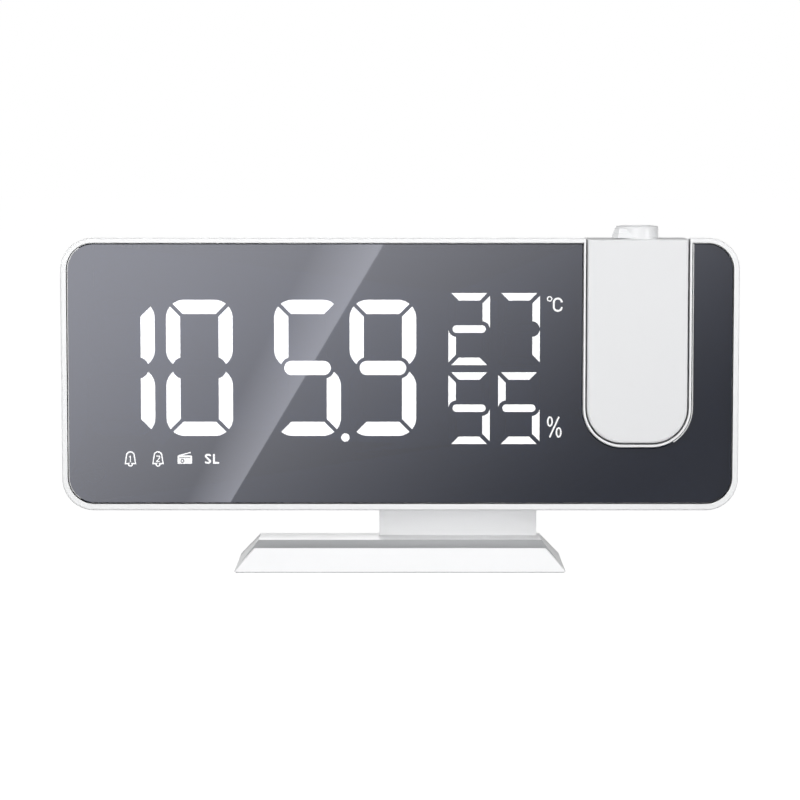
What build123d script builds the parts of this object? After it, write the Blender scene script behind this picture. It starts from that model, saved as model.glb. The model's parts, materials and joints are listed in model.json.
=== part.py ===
from build123d import *
from collections import namedtuple
from math import radians, sqrt, tan
import os

os.makedirs("parts", exist_ok=True)

# Projection alarm clock, in millimetres. X runs right, Y runs back, Z runs up.
# The origin is on the table, under the middle of the clock.

# ---- Body -------------------------------------------------------------------
BODY_WIDTH = 186.0
BODY_HEIGHT = 75.0
BODY_CORNER = 8.8  # corner radius seen from the front
BODY_LIFT = 15.5  # underside of the body above the table
FRONT = -6.0  # plane of the bezel's front face
FRAME_DEPTH = 10.0
HOUSING_DEPTH = 14.2
FRAME_DRAFT = 3.5  # degrees, so that the body narrows towards the back
HOUSING_DRAFT = 5.0
EDGE_ROUND = 0.5
WALL = 1.8
HOUSING_STEP = 0.4  # the housing stands this far inside the frame
HOUSING_BACK_ROUND = 4.0

BEZEL_SIDE = 1.6
BEZEL_TOP = 1.3
BEZEL_BOTTOM = 1.8
PANEL_CORNER = 7.4
PANEL_THICKNESS = 2.0
PANEL_SINK = 0.1  # the panel's face lies this far behind the bezel's
PANEL_GAP = 0.25
PANEL_CHAMFER = 0.25
PRINT = 0.1  # thickness of the black film behind the panel
LEDGE = 2.0  # width of the seat that the panel's edge rests on

# ---- Projector arm and its tub ----------------------------------------------
ARM_SETBACK = 27.9  # middle of the arm in from the body's right end
ARM_WIDTH = 27.6
ARM_DROP = 0.4  # top of the arm below the top of the body
ARM_LENGTH = 56.0
ARM_CORNER = 9.7
ARM_GAP = 0.45
ARM_WALL = 1.5
ARM_TOP_WALL = 2.0
ARM_FRONT_DEPTH = 14.0
ARM_REAR_DEPTH = 4.4
ARM_EDGE = 0.6  # rounding of the front edge
TUB_RIM = 0.55  # rim of the tub, seen around the arm
TUB_WALL = 1.75  # the same wall behind the panel
TUB_FLOOR = 1.2
TUB_REAR_GAP = 0.6
KNUCKLE_RADIUS = 2.4
PIN_RADIUS = 1.0
RUNNING_FIT = 0.05  # radial clearance of every turning or sliding fit
PRESS_GAP = 0.02  # radial clearance of the round parts that are pressed or glued in
WASHER_THICKNESS = 0.4
WASHER_RADIUS = 2.2
PIN_EDGE = 0.2  # chamfer at the ends of the hinge pin
ARM_SCREW_RISE = 6.0  # lowest screw above the bottom of the arm
ARM_SCREW_DROP = 14.5  # upper pair of screws below the top of the arm
ARM_SCREW_SPREAD = 9.3  # from the middle of the arm
ARM_BOSS = 2.3
ARM_PILOT = 0.8
ARM_SCREW_DEPTH = 8.0  # of the pilot holes in the front shell
ARM_HEAD_RADIUS = 1.6
ARM_HEAD = 0.9
ARM_REAR_PLATE = 1.6
KNUCKLE_BLOCK = 5.4  # solid height at the top of the rear shell

# ---- Projector optics -------------------------------------------------------
LENS_Y = 0.7  # the optical axis stands at (ARM_X, LENS_Y)
BARREL_RADIUS = 4.7
BARREL_BORE = 4.1
BARREL_ABOVE = 3.6  # height of the barrel above the arm
BARREL_LENGTH = 21.0
BARREL_FLANGE_RADIUS = 6.0
BARREL_FLANGE = 0.3
RING_RADIUS = 6.0
RING_HEIGHT = 3.1
RING_GROOVE = 0.2
RING_GROOVE_HEIGHTS = (1.1, 1.7, 2.3)  # above the foot of the ring
GRIP_REACH = 7.2  # of the ring's grip, left of the optical axis
GRIP_SHOULDER = 5.6  # reach of the grip's flat front face
GRIP_CORNER = 3.4  # from the optical axis forward to the grip's left corner
GRIP_SLOPE = 20.0
CELL_BORE = 3.2
CELL_LENGTH = 7.0
CELL_SINK = 2.4  # top of the cell below the top of the barrel
LENS_RIM = 1.2
LENS_BULGE = 0.9
CARRIER_WIDTH, CARRIER_DEPTH = 13.0, 9.4
CARRIER_WALL = 1.0
CARRIER_LENGTH = 27.0
LCD_THICKNESS = 1.4
LCD_DROP = 8.0  # liquid crystal below the top of the carrier
CONDENSER_RIM = 1.2
CONDENSER_BULGE = 1.6
CONDENSER_DROP = 15.0
BOARD = 1.6  # thickness of every circuit board
LED_RADIUS = 2.4
LED_HEIGHT = 2.0

# ---- Display ----------------------------------------------------------------
Digit = namedtuple("Digit", "width height stroke gap corner inset")
LARGE = Digit(width=18.3, height=37.5, stroke=3.9, gap=1.03, corner=5.0, inset=2.75)
SMALL = Digit(width=11.4, height=19.8, stroke=2.05, gap=1.12, corner=0.6, inset=1.15)
HOUR_GAP, MINUTE_GAP, SMALL_GAP = 3.1, 2.4, 2.3  # between the two digits of a pair
UNITS_WIDTH = 4.35
LARGE_RISE = 1.7  # centre of the large digits above the middle of the body
SMALL_RISES = (12.4, -9.4)  # the same for the two rows of small digits
POINT_DROP, POINT_RADIUS = 0.45, 1.15  # the point lies this far below the large digits
BAR_DEPTH = 2.5
WINDOW_FIT = 0.05
BOX_LIFT, BOX_DROP = 9.0, 9.5  # light box above the foot and below the top of the body
BOX_CLEAR = 1.0  # between the light box and the screw bosses
BOX_MARGIN = 0.9  # beside the first digit
UNITS_MARGIN = 1.2

DEGREE_RISE, DEGREE_RADIUS = 8.3, 0.75  # above the centre of the upper row
CELSIUS_RISE, CELSIUS_WIDTH, CELSIUS_HEIGHT = 6.7, 2.7, 3.9
PERCENT_DROP, PERCENT_HEIGHT = 5.2, 5.8  # below the centre of the lower row
PERCENT_LOOP_WIDTH, PERCENT_LOOP_HEIGHT = 1.65, 2.9
PERCENT_SPREAD_X, PERCENT_SPREAD_Z = 1.2, 1.5
THIN_STROKE = 0.45
BOLD_STROKE = 0.52
ICON_LIFT = 14.1  # above the foot of the body
ICON_OFFSETS = (-8.5, -0.9, 6.5, 14.0)  # from the middle of the hours
BELL_RADIUS, BELL_FLARE, BELL_FOOT, BELL_CLAPPER = 1.25, 1.6, 1.5, 0.7
BELL_DOME_Z = 0.85  # centre of the dome above the icon's centre
RADIO_WIDTH, RADIO_HEIGHT = 4.0, 2.3
RADIO_HANDLE_RISE = 0.8
RADIO_DIAL = 0.55
BELL_NUMBER_RISE, BELL_NUMBER_HALF = 0.75, 0.42  # half the height and width of its number
SLEEP_HEIGHT, SLEEP_ADVANCE = 2.75, 2.25
LETTER_HALF, LETTER_BEND = 0.6, 0.3

# ---- Boards and parts inside ------------------------------------------------
MAIN_BOARD_MARGINS = (55.0, 9.1, 8.5, 10.5)  # left, to the arm's tub, bottom, top
MAIN_BOARD_Y = 6.0  # front face of the main board
POST_RADIUS = 2.2
BOARD_POST_INSET = 4.0
SMALL_PILOT = 0.8
SPEAKER_SETBACK, SPEAKER_RADIUS = 33.0, 14.0  # in from the body's left end
SPEAKER_FLANGE = 1.2
SPEAKER_DEPTH = 6.0
SPEAKER_MAGNET = 7.0
SPEAKER_FIT = 0.3
SPEAKER_TAPER = 35.0  # degrees, of the basket behind the flange
SPEAKER_RIB = 1.2
SPEAKER_RIB_DEPTH = 2.5
GRILLE_RINGS = ((4.0, 6), (8.0, 12), (11.5, 18))  # radius and count of the holes
GRILLE_HOLE = 0.7
CELL_X, CELL_LIFT, COIN_RADIUS, COIN_THICKNESS = -18.0, 22.5, 10.0, 3.2
COIN_EDGE = 0.3
CUP_FLOOR = 1.0
CUP_GAP = 0.4
COVER_RADIUS = 11.4
COVER_GAP = 0.12
COVER_LUG = 1.1
COVER_LUG_WIDTH = 5.0
COVER_LUG_THICKNESS = 0.8
COVER_TURN = 45.0
COIN_SLOT_WIDTH, COIN_SLOT_DEPTH = 1.8, 0.8
JACK_SETBACK, PORT_LIFT = 13.0, 13.5  # in from the main board's right end
JACK_SIDE, JACK_NOSE, JACK_BORE, JACK_PIN = 9.0, 3.8, 2.75, 0.65
JACK_BORE_DEPTH = 7.0
USB_SETBACK, USB_WIDTH, USB_HEIGHT, USB_SHEET = 28.0, 13.2, 5.7, 0.5
USB_TONGUE = 1.8
USB_END_WALL = 1.5
PORT_GAP = 0.2
GROMMET_SETBACK, GROMMET_LIFT, GROMMET_RADIUS, GROMMET_BORE = 15.0, 14.5, 2.4, 0.9
GROMMET_LIP = 0.8

# ---- Keys -------------------------------------------------------------------
KEY_WIDTH, KEY_HEIGHT, KEY_CORNER = 11.0, 6.0, 1.5
KEY_COLUMNS, KEY_ROWS = 3, 2
KEY_PITCH_X, KEY_PITCH_Z = 15.0, 10.5
KEY_SETBACK = 32.0  # centre of the group, in from the main board's right end
KEY_RISE = 10.0  # and above the middle of the body
KEY_GAP = 0.15
KEY_PROUD = 0.6
KEY_TRAVEL = 0.5
KEY_FLANGE = 0.8  # width and thickness of the flange that keeps a key in
KEY_STEM = 1.5
STEM_GAP = 0.1  # between a pressed key's stem and its switch
SWITCH_SIDE = 6.0
SWITCH_HEIGHT = 2.0
KEY_BOARD_Y = 10.4  # front face of the key board
KEY_BOARD_MARGIN = 4.0
SNOOZE_X, SNOOZE_WIDTH, SNOOZE_DEPTH = -14.0, 46.0, 7.0
SNOOZE_Y = 10.0
SNOOZE_TRAVEL = 0.8
SNOOZE_PROUD = 0.25
SNOOZE_SWITCH_RISE = 2.6  # top of its switch above the main board

# ---- Screws -----------------------------------------------------------------
SCREW_RADIUS = 1.15
SCREW_HEAD_RADIUS = 2.3
SCREW_HEAD = 1.2
SCREW_CLEAR = 1.3
HEAD_GAP = 0.2
CROSS_LENGTH, CROSS_WIDTH = 2.4, 0.5  # cross slot in the head
SCREW_END_GAP = 1.0  # free depth under the end of a screw
SMALL_SCREW_HEAD_RADIUS, SMALL_SCREW_HEAD = 1.8, 1.0
SMALL_SCREW_LENGTH = 5.6
SMALL_CLEAR = 1.0
SMALL_CROSS_LENGTH, SMALL_CROSS_WIDTH = 1.8, 0.4
BOSS_RADIUS = 3.0
BODY_SCREW_HEAD_RADIUS = 1.9
HOUSING_SCREW_SETBACK = 8.5
HOUSING_SCREW_RISE = 27.0  # above and below the middle of the body
HOUSING_SCREW_LENGTH = 7.0  # of thread in the frame's boss
HOUSING_SCREW_SINK = 8.0  # head below the back of the housing

# ---- Stand ------------------------------------------------------------------
BASE_WIDTH, BASE_DEPTH = 90.0, 38.0
BASE_HEIGHT = 6.45
SLOPE = 42.0
MAT = 0.35
MAT_INSET = 0.3
MAT_CORNER = 0.8
CREST_SETBACK = 5.2  # front lip behind the base's front edge
GROOVE_SETBACK = 7.2
GROOVE_BOTTOM = 1.85  # above the mat
GROOVE_END_SETBACK = 17.4
BASE_WALL = 1.7
SLOPE_SHIFT = 2.4  # horizontal thickness of the sloped walls
CAVITY_FRONT = -6.5
BASE_PLATE = 1.2
PLATE_HEAD = 1.0  # depth of the screw heads in the plate
BASE_ROUND = 0.4
PLATE_GAP = 0.2
NECK_X, NECK_WIDTH, NECK_THICKNESS = 16.2, 44.0, 3.8
NECK_Y = 10.1
NECK_FLANGE_DEPTH, NECK_FLANGE = 11.0, 2.0
NECK_FOOT_DEPTH = 7.0
NECK_GAP = 0.1
PAD_HEIGHT = 4.5  # of the thick floor in the housing above the neck
NECK_SCREW_SPREAD = 28.0
NECK_FLANGE_Y = 10.6
NECK_FLANGE_SCREW_Y = 14.15
WEIGHT_LENGTH, WEIGHT_DEPTH = 23.0, 12.0
WEIGHT_X, WEIGHT_Y = -20.0, 4.5
BASE_SCREW_X, BASE_SCREW_FRONT, BASE_SCREW_BACK = -35.0, 1.0, 9.0
BASE_BOSS = 2.6

ABOVE = 5.0  # how far a cut runs past the face that it opens

# ---- Places that follow from the values above -------------------------------
BODY_MID = BODY_LIFT + BODY_HEIGHT / 2
BODY_TOP = BODY_LIFT + BODY_HEIGHT
SEAM = FRONT + FRAME_DEPTH  # where frame and housing meet
BACK = SEAM + HOUSING_DEPTH
INNER_BACK = BACK - WALL
PANEL_FRONT = FRONT + PANEL_SINK
PANEL_BACK = PANEL_FRONT + PANEL_THICKNESS
DISPLAY_BOARD_Y = PANEL_BACK + BAR_DEPTH

ARM_X = BODY_WIDTH / 2 - ARM_SETBACK
ARM_BACK = FRONT + ARM_FRONT_DEPTH + ARM_REAR_DEPTH
ARM_SEAM = FRONT + ARM_FRONT_DEPTH
ARM_TOP = BODY_TOP - ARM_DROP
ARM_BOTTOM = ARM_TOP - ARM_LENGTH
ARM_SCREWS = [
    (ARM_X, ARM_BOTTOM + ARM_SCREW_RISE),
    (ARM_X - ARM_SCREW_SPREAD, ARM_TOP - ARM_SCREW_DROP),
    (ARM_X + ARM_SCREW_SPREAD, ARM_TOP - ARM_SCREW_DROP),
]
HINGE_Y = ARM_BACK - KNUCKLE_RADIUS
HINGE_Z = ARM_TOP - KNUCKLE_RADIUS
POCKET_WIDTH = ARM_WIDTH + 2 * ARM_GAP
POCKET_BACK = ARM_BACK + TUB_REAR_GAP
TUB_BACK = POCKET_BACK + TUB_FLOOR
TUB_WIDTH = POCKET_WIDTH + 2 * TUB_WALL

BARREL_TOP = ARM_TOP + BARREL_ABOVE
BARREL_FOOT = BARREL_TOP - BARREL_LENGTH
RING_FOOT = ARM_TOP + BARREL_FLANGE + RUNNING_FIT
CELL_TOP = BARREL_TOP - CELL_SINK
CARRIER_TOP = BARREL_FOOT

SPEAKER_X, SPEAKER_Z = -BODY_WIDTH / 2 + SPEAKER_SETBACK, BODY_MID
CELL_Z = BODY_LIFT + CELL_LIFT
PORT_Z = BODY_LIFT + PORT_LIFT
GROMMET_X, GROMMET_Z = -BODY_WIDTH / 2 + GROMMET_SETBACK, BODY_LIFT + GROMMET_LIFT
KEY_Z = BODY_MID + KEY_RISE
MAIN_BOARD = (
    -BODY_WIDTH / 2 + MAIN_BOARD_MARGINS[0],
    ARM_X - TUB_WIDTH / 2 - MAIN_BOARD_MARGINS[1],
    BODY_LIFT + MAIN_BOARD_MARGINS[2],
    BODY_TOP - MAIN_BOARD_MARGINS[3],
)
JACK_X, USB_X, KEY_X = [
    MAIN_BOARD[1] - setback for setback in (JACK_SETBACK, USB_SETBACK, KEY_SETBACK)
]

FRAME_SHRINK = FRAME_DEPTH * tan(radians(FRAME_DRAFT))
HOUSING_WIDTH = BODY_WIDTH - 2 * (FRAME_SHRINK + HOUSING_STEP)
HOUSING_HEIGHT = BODY_HEIGHT - 2 * (FRAME_SHRINK + HOUSING_STEP)
HOUSING_TOP = BODY_MID + HOUSING_HEIGHT / 2
HOUSING_BOTTOM = BODY_MID - HOUSING_HEIGHT / 2
HOUSING_CORNER = BODY_CORNER - FRAME_SHRINK - HOUSING_STEP
SNOOZE_ROOF = HOUSING_TOP - (SNOOZE_Y - SEAM) * tan(radians(HOUSING_DRAFT))
HOUSING_SCREW_X = BODY_WIDTH / 2 - HOUSING_SCREW_SETBACK
HOUSING_SCREWS = [
    (side * HOUSING_SCREW_X, BODY_MID + rise * HOUSING_SCREW_RISE)
    for side in (-1, 1)
    for rise in (-1, 1)
]
KEY_PLACES = [
    (
        KEY_X + (column - (KEY_COLUMNS - 1) / 2) * KEY_PITCH_X,
        KEY_Z + (row - (KEY_ROWS - 1) / 2) * KEY_PITCH_Z,
    )
    for row in range(KEY_ROWS)
    for column in range(KEY_COLUMNS)
]
BOARD_POSTS = [
    (x, z)
    for x in (MAIN_BOARD[0] + BOARD_POST_INSET, MAIN_BOARD[1] - BOARD_POST_INSET)
    for z in (MAIN_BOARD[2] + BOARD_POST_INSET, MAIN_BOARD[3] - BOARD_POST_INSET)
]
KEY_BOARD_WIDTH = KEY_COLUMNS * KEY_PITCH_X + KEY_BOARD_MARGIN
KEY_BOARD_HEIGHT = KEY_ROWS * KEY_PITCH_Z + KEY_BOARD_MARGIN
KEY_POSTS = [
    (KEY_X + side * (KEY_BOARD_WIDTH / 2 - POST_RADIUS / 2), KEY_Z) for side in (-1, 1)
]

# The display lies between the frame's ledge and the tub. The spare width beside its four
# groups is shared out between the left end, the spaces between the groups, and the right end.
SPARE_SHARES = (0.1236, 0.3756, 0.2916, 0.0626, 0.1466)
GROUP_WIDTHS = (
    2 * LARGE.width + HOUR_GAP,
    2 * LARGE.width + MINUTE_GAP,
    2 * SMALL.width + SMALL_GAP,
    UNITS_WIDTH,
)
ZONE_LEFT = -BODY_WIDTH / 2 + BEZEL_SIDE + LEDGE
SPARE = ARM_X - TUB_WIDTH / 2 - ZONE_LEFT - sum(GROUP_WIDTHS)
HOURS_X, MINUTES_X, SMALL_GROUP_X, UNITS_X = [
    ZONE_LEFT + SPARE * sum(SPARE_SHARES[: i + 1]) + sum(GROUP_WIDTHS[:i]) + GROUP_WIDTHS[i] / 2
    for i in range(len(GROUP_WIDTHS))
]
HOUR_STEP, MINUTE_STEP = (LARGE.width + HOUR_GAP) / 2, (LARGE.width + MINUTE_GAP) / 2
SMALL_STEP = (SMALL.width + SMALL_GAP) / 2
LARGE_X = (HOURS_X - HOUR_STEP, HOURS_X + HOUR_STEP, MINUTES_X - MINUTE_STEP, MINUTES_X + MINUTE_STEP)
SMALL_X = (SMALL_GROUP_X - SMALL_STEP, SMALL_GROUP_X + SMALL_STEP)
LARGE_Z = BODY_MID + LARGE_RISE
SMALL_Z = [BODY_MID + rise for rise in SMALL_RISES]
POINT_X, POINT_Z = MINUTES_X, LARGE_Z - LARGE.height / 2 - POINT_DROP
DEGREE_X, DEGREE_Z = UNITS_X - UNITS_WIDTH / 2 + DEGREE_RADIUS, SMALL_Z[0] + DEGREE_RISE
CELSIUS_X, CELSIUS_Z = UNITS_X + (UNITS_WIDTH - CELSIUS_WIDTH) / 2, SMALL_Z[0] + CELSIUS_RISE
PERCENT_X, PERCENT_Z = UNITS_X, SMALL_Z[1] - PERCENT_DROP
ICON_Z = BODY_LIFT + ICON_LIFT
BELL_ONE_X, BELL_TWO_X, RADIO_X, SLEEP_X = [HOURS_X + offset for offset in ICON_OFFSETS]
EAR_RISE = HOUSING_SCREW_RISE - BOSS_RADIUS - BOX_CLEAR
LIGHT_BOX = (
    -HOUSING_SCREW_X + BOSS_RADIUS + BOX_CLEAR,
    UNITS_X + UNITS_WIDTH / 2 + UNITS_MARGIN,
    BODY_LIFT + BOX_LIFT,
    BODY_TOP - BOX_DROP,
)
LIGHT_BOX_EAR = (
    LARGE_X[0] - LARGE.width / 2 - BOX_MARGIN,
    LIGHT_BOX[0],
    BODY_MID - EAR_RISE,
    BODY_MID + EAR_RISE,
)

BASE_TOP = MAT + BASE_HEIGHT
CAVITY_HEIGHT = BASE_HEIGHT - BASE_WALL
PLATE_TOP = MAT + BASE_PLATE
CAVITY_TOP = MAT + CAVITY_HEIGHT
PAD_BOTTOM = BODY_LIFT + FRAME_SHRINK
NECK_TOP = PAD_BOTTOM
NECK_COLUMNS = [NECK_X + side * NECK_SCREW_SPREAD / 2 for side in (-1, 1)]
BODY_SCREWS = [(x, NECK_FLANGE_SCREW_Y) for x in NECK_COLUMNS]
BASE_BOSSES = [(BASE_SCREW_X, BASE_SCREW_FRONT), (BASE_SCREW_X, BASE_SCREW_BACK)]
BASE_SCREWS = BASE_BOSSES + [(x, NECK_Y) for x in NECK_COLUMNS]


def facing_front(y):
    """A plane at depth y, drawn on in X and Z, whose positive side looks forward."""
    return Plane.XZ.offset(-y)


def facing_back(y):
    """A plane at depth y whose positive side looks back. Its x axis is -X."""
    return Plane((0, y, 0), x_dir=(-1, 0, 0), z_dir=(0, 1, 0))


def sideways(x):
    """A plane at x, drawn on in Y and Z, whose positive side looks right."""
    return Plane.YZ.offset(x)


def write(piece, name):
    """Labels a finished piece and writes its STEP file."""
    piece.part.label = name
    export_step(piece.part, f"parts/{name}.step")


def frame_rectangle(left, right, bottom, top):
    """Adds a rectangle given by its edges to the sketch that is being drawn."""
    with Locations(((left + right) / 2, (bottom + top) / 2)):
        Rectangle(right - left, top - bottom)


def u_outline(width, bottom, corner, top, mode=Mode.ADD):
    """Adds the arm's outline: straight sides, an open square top and a round bottom."""
    half = width / 2
    with BuildLine(mode=Mode.PRIVATE) as edge:
        FilletPolyline(
            (ARM_X - half, top),
            (ARM_X - half, bottom),
            (ARM_X + half, bottom),
            (ARM_X + half, top),
            radius=corner,
        )
        Line((ARM_X + half, top), (ARM_X - half, top))
    with BuildSketch(mode=Mode.PRIVATE) as outline:
        add(edge.line)
        make_face()
    add(outline.sketch, mode=mode)


def panel_outline(gap):
    """Adds the outline of the front panel, drawn in by a gap all round."""
    width = BODY_WIDTH - 2 * BEZEL_SIDE - 2 * gap
    height = BODY_HEIGHT - BEZEL_TOP - BEZEL_BOTTOM - 2 * gap
    middle = BODY_MID + (BEZEL_BOTTOM - BEZEL_TOP) / 2
    with Locations((0, middle)):
        RectangleRounded(width, height, PANEL_CORNER - gap)


# ---- Front frame ------------------------------------------------------------
RIM_BOTTOM = ARM_BOTTOM - ARM_GAP - TUB_RIM
RIM_CORNER = ARM_CORNER + ARM_GAP + TUB_RIM
TUB_BOTTOM = ARM_BOTTOM - ARM_GAP - TUB_WALL
TUB_CORNER = ARM_CORNER + ARM_GAP + TUB_WALL

with BuildPart() as front_frame:
    with BuildSketch(facing_back(FRONT)):
        with Locations((0, BODY_MID)):
            RectangleRounded(BODY_WIDTH, BODY_HEIGHT, BODY_CORNER)
    extrude(amount=TUB_BACK - FRONT, taper=FRAME_DRAFT)
    fillet(front_frame.faces().sort_by(Axis.Y)[0].edges(), EDGE_ROUND)
    with BuildSketch(facing_front(FRONT)):
        panel_outline(0)
        u_outline(POCKET_WIDTH + 2 * TUB_RIM, RIM_BOTTOM, RIM_CORNER, BODY_TOP, Mode.SUBTRACT)
    extrude(amount=-(PANEL_BACK - FRONT), mode=Mode.SUBTRACT)
    with BuildSketch(facing_front(PANEL_BACK)):
        panel_outline(LEDGE)
        u_outline(TUB_WIDTH, TUB_BOTTOM, TUB_CORNER, BODY_TOP, Mode.SUBTRACT)
    extrude(amount=-(TUB_BACK - PANEL_BACK), mode=Mode.SUBTRACT)
    with BuildSketch(facing_front(SEAM)):
        with Locations((0, BODY_MID)):
            Rectangle(BODY_WIDTH, BODY_HEIGHT + 2 * ABOVE)
        u_outline(TUB_WIDTH, TUB_BOTTOM, TUB_CORNER, BODY_TOP, Mode.SUBTRACT)
    extrude(amount=-(TUB_BACK - SEAM), mode=Mode.SUBTRACT)
    with BuildSketch(facing_front(PANEL_BACK)):
        for x, z in HOUSING_SCREWS:
            side = 1 if x > 0 else -1
            with Locations((x, z)):
                Circle(BOSS_RADIUS)
            with Locations((x + side * BOSS_RADIUS, z)):
                Rectangle(2 * BOSS_RADIUS, BOSS_RADIUS)
    extrude(amount=-(SEAM - PANEL_BACK))
    with BuildSketch(facing_front(SEAM)):
        with Locations(*HOUSING_SCREWS):
            Circle(SCREW_RADIUS)
    extrude(amount=HOUSING_SCREW_LENGTH, mode=Mode.SUBTRACT)
    with BuildSketch(facing_front(FRONT)):
        u_outline(POCKET_WIDTH, ARM_BOTTOM - ARM_GAP, ARM_CORNER + ARM_GAP, BODY_TOP + ABOVE)
    extrude(amount=-(POCKET_BACK - FRONT), mode=Mode.SUBTRACT)
    with BuildSketch(sideways(ARM_X)):
        with Locations((HINGE_Y, HINGE_Z)):
            Circle(PIN_RADIUS)
    extrude(amount=TUB_WIDTH / 2, both=True, mode=Mode.SUBTRACT)
write(front_frame, "front_frame")

# ---- Front panel ------------------------------------------------------------
with BuildPart() as mirror_panel:
    with BuildSketch(facing_front(PANEL_FRONT)):
        panel_outline(PANEL_GAP)
        u_outline(
            POCKET_WIDTH + 2 * (TUB_RIM + PANEL_GAP),
            RIM_BOTTOM - PANEL_GAP,
            RIM_CORNER + PANEL_GAP,
            BODY_TOP,
            Mode.SUBTRACT,
        )
    extrude(amount=-(PANEL_THICKNESS - PRINT))
    chamfer(mirror_panel.faces().sort_by(Axis.Y)[0].edges(), PANEL_CHAMFER)
write(mirror_panel, "mirror_panel")


# ---- Digits and symbols -----------------------------------------------------
SIDES = {"a": (1, 1), "d": (1, -1), "b": (1, 1), "c": (1, -1), "f": (-1, 1), "e": (-1, -1)}


def bar_face(letter, digit, grow=0.0):
    """One bar of a seven-bar digit about the digit's centre, optionally grown all round."""
    width, height = digit.width + 2 * grow, digit.height + 2 * grow
    stroke, gap = digit.stroke + 2 * grow, digit.gap - 2 * grow
    middle_length = width - 2 * digit.inset
    with BuildSketch(mode=Mode.PRIVATE) as face:
        if letter == "g":
            SlotOverall(middle_length, stroke)
        else:
            right, up = SIDES[letter]
            mitre = gap / sqrt(2)
            with Locations((0, up * height / 4)):
                RectangleRounded(width, height / 2, digit.corner + grow)
            if letter in "ad":
                outer, inner = width / 2 - mitre, width / 2 - stroke - mitre
                corners = [
                    (-outer, up * height / 2),
                    (outer, up * height / 2),
                    (inner, up * (height / 2 - stroke)),
                    (-inner, up * (height / 2 - stroke)),
                ]
            else:
                corners = [
                    (right * width / 2, 0),
                    (right * width / 2, up * (height / 2 - mitre)),
                    (right * (width / 2 - stroke), up * (height / 2 - stroke - mitre)),
                    (right * (width / 2 - stroke), 0),
                ]
            Polygon(*corners, align=None, mode=Mode.INTERSECT)
            if letter not in "ad":
                SlotOverall(middle_length + 2 * gap, stroke + 2 * gap, mode=Mode.SUBTRACT)
    return face.sketch


def place_bars(digit, centre, letters, grow=0.0):
    """Adds the named bars of one digit to the sketch that is being drawn."""
    with Locations(centre):
        for letter in letters:
            add(bar_face(letter, digit, grow))


def lit_piece(name, drawings):
    """Writes light pipes whose faces are drawn by the functions in drawings."""
    with BuildPart() as piece:
        with BuildSketch(facing_front(PANEL_BACK)):
            for draw in drawings:
                draw(0.0)
        extrude(amount=-BAR_DEPTH)
    write(piece, name)


def stroke_path(points, width):
    """Adds a bent stroke of constant width with round ends along the points."""
    for start, end in zip(points, points[1:]):
        straight_stroke(start, end, width)


def straight_stroke(start, end, width):
    """Adds one straight stroke with round ends between two points."""
    run = Vector(*end) - Vector(*start)
    angle = Vector(1, 0).get_signed_angle(run, Vector(0, 0, 1))
    with Locations(Location(((start[0] + end[0]) / 2, (start[1] + end[1]) / 2, 0), (0, 0, angle))):
        SlotCenterToCenter(run.length, width)


def draw_point(grow):
    """The dot at the foot of the large digits."""
    with Locations((POINT_X, POINT_Z)):
        Circle(POINT_RADIUS + grow)


def draw_celsius(grow):
    """A small ring and an open round letter for degrees Celsius."""
    with Locations((DEGREE_X, DEGREE_Z)):
        Circle(DEGREE_RADIUS + grow)
        if not grow:
            Circle(DEGREE_RADIUS - THIN_STROKE / 1.5, mode=Mode.SUBTRACT)
    with BuildSketch(mode=Mode.PRIVATE) as letter:
        half = CELSIUS_WIDTH / 2
        RectangleRounded(CELSIUS_WIDTH + 2 * grow, CELSIUS_HEIGHT + 2 * grow, half + grow - 0.01)
        inner = 2 * (BOLD_STROKE + grow)
        RectangleRounded(
            CELSIUS_WIDTH - inner,
            CELSIUS_HEIGHT - inner,
            half - BOLD_STROKE - grow - 0.01,
            mode=Mode.SUBTRACT,
        )
        with Locations((half, 0)):
            Rectangle(CELSIUS_WIDTH, CELSIUS_HEIGHT / 3 - 2 * grow, mode=Mode.SUBTRACT)
    with Locations((CELSIUS_X, CELSIUS_Z)):
        add(letter.sketch)


def draw_percent(grow):
    """Two tall loops with a slanted stroke between them."""
    loops = [
        (PERCENT_X - PERCENT_SPREAD_X, PERCENT_Z + PERCENT_SPREAD_Z),
        (PERCENT_X + PERCENT_SPREAD_X, PERCENT_Z - PERCENT_SPREAD_Z),
    ]
    width, height = PERCENT_LOOP_WIDTH / 2, PERCENT_LOOP_HEIGHT / 2
    with Locations(*loops):
        Ellipse(width + grow, height + grow)
        if not grow:
            Ellipse(width - THIN_STROKE, height - THIN_STROKE, mode=Mode.SUBTRACT)
    rise = PERCENT_HEIGHT / 2 - THIN_STROKE / 2
    straight_stroke(
        (PERCENT_X - PERCENT_SPREAD_X, PERCENT_Z - rise),
        (PERCENT_X + PERCENT_SPREAD_X, PERCENT_Z + rise),
        THIN_STROKE + 2 * grow,
    )


def bell_outline(x, grow):
    """Adds a bell: a dome on flared sides, with a clapper under it."""
    z = ICON_Z
    with Locations((x, z + BELL_DOME_Z)):
        Circle(BELL_RADIUS + grow)
    Polygon(
        (x - BELL_RADIUS - grow, z + BELL_DOME_Z),
        (x + BELL_RADIUS + grow, z + BELL_DOME_Z),
        (x + BELL_FLARE + grow, z - BELL_FOOT - grow),
        (x - BELL_FLARE - grow, z - BELL_FOOT - grow),
        align=None,
    )
    with Locations((x, z - BELL_FOOT)):
        Circle(BELL_CLAPPER + grow)


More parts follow.
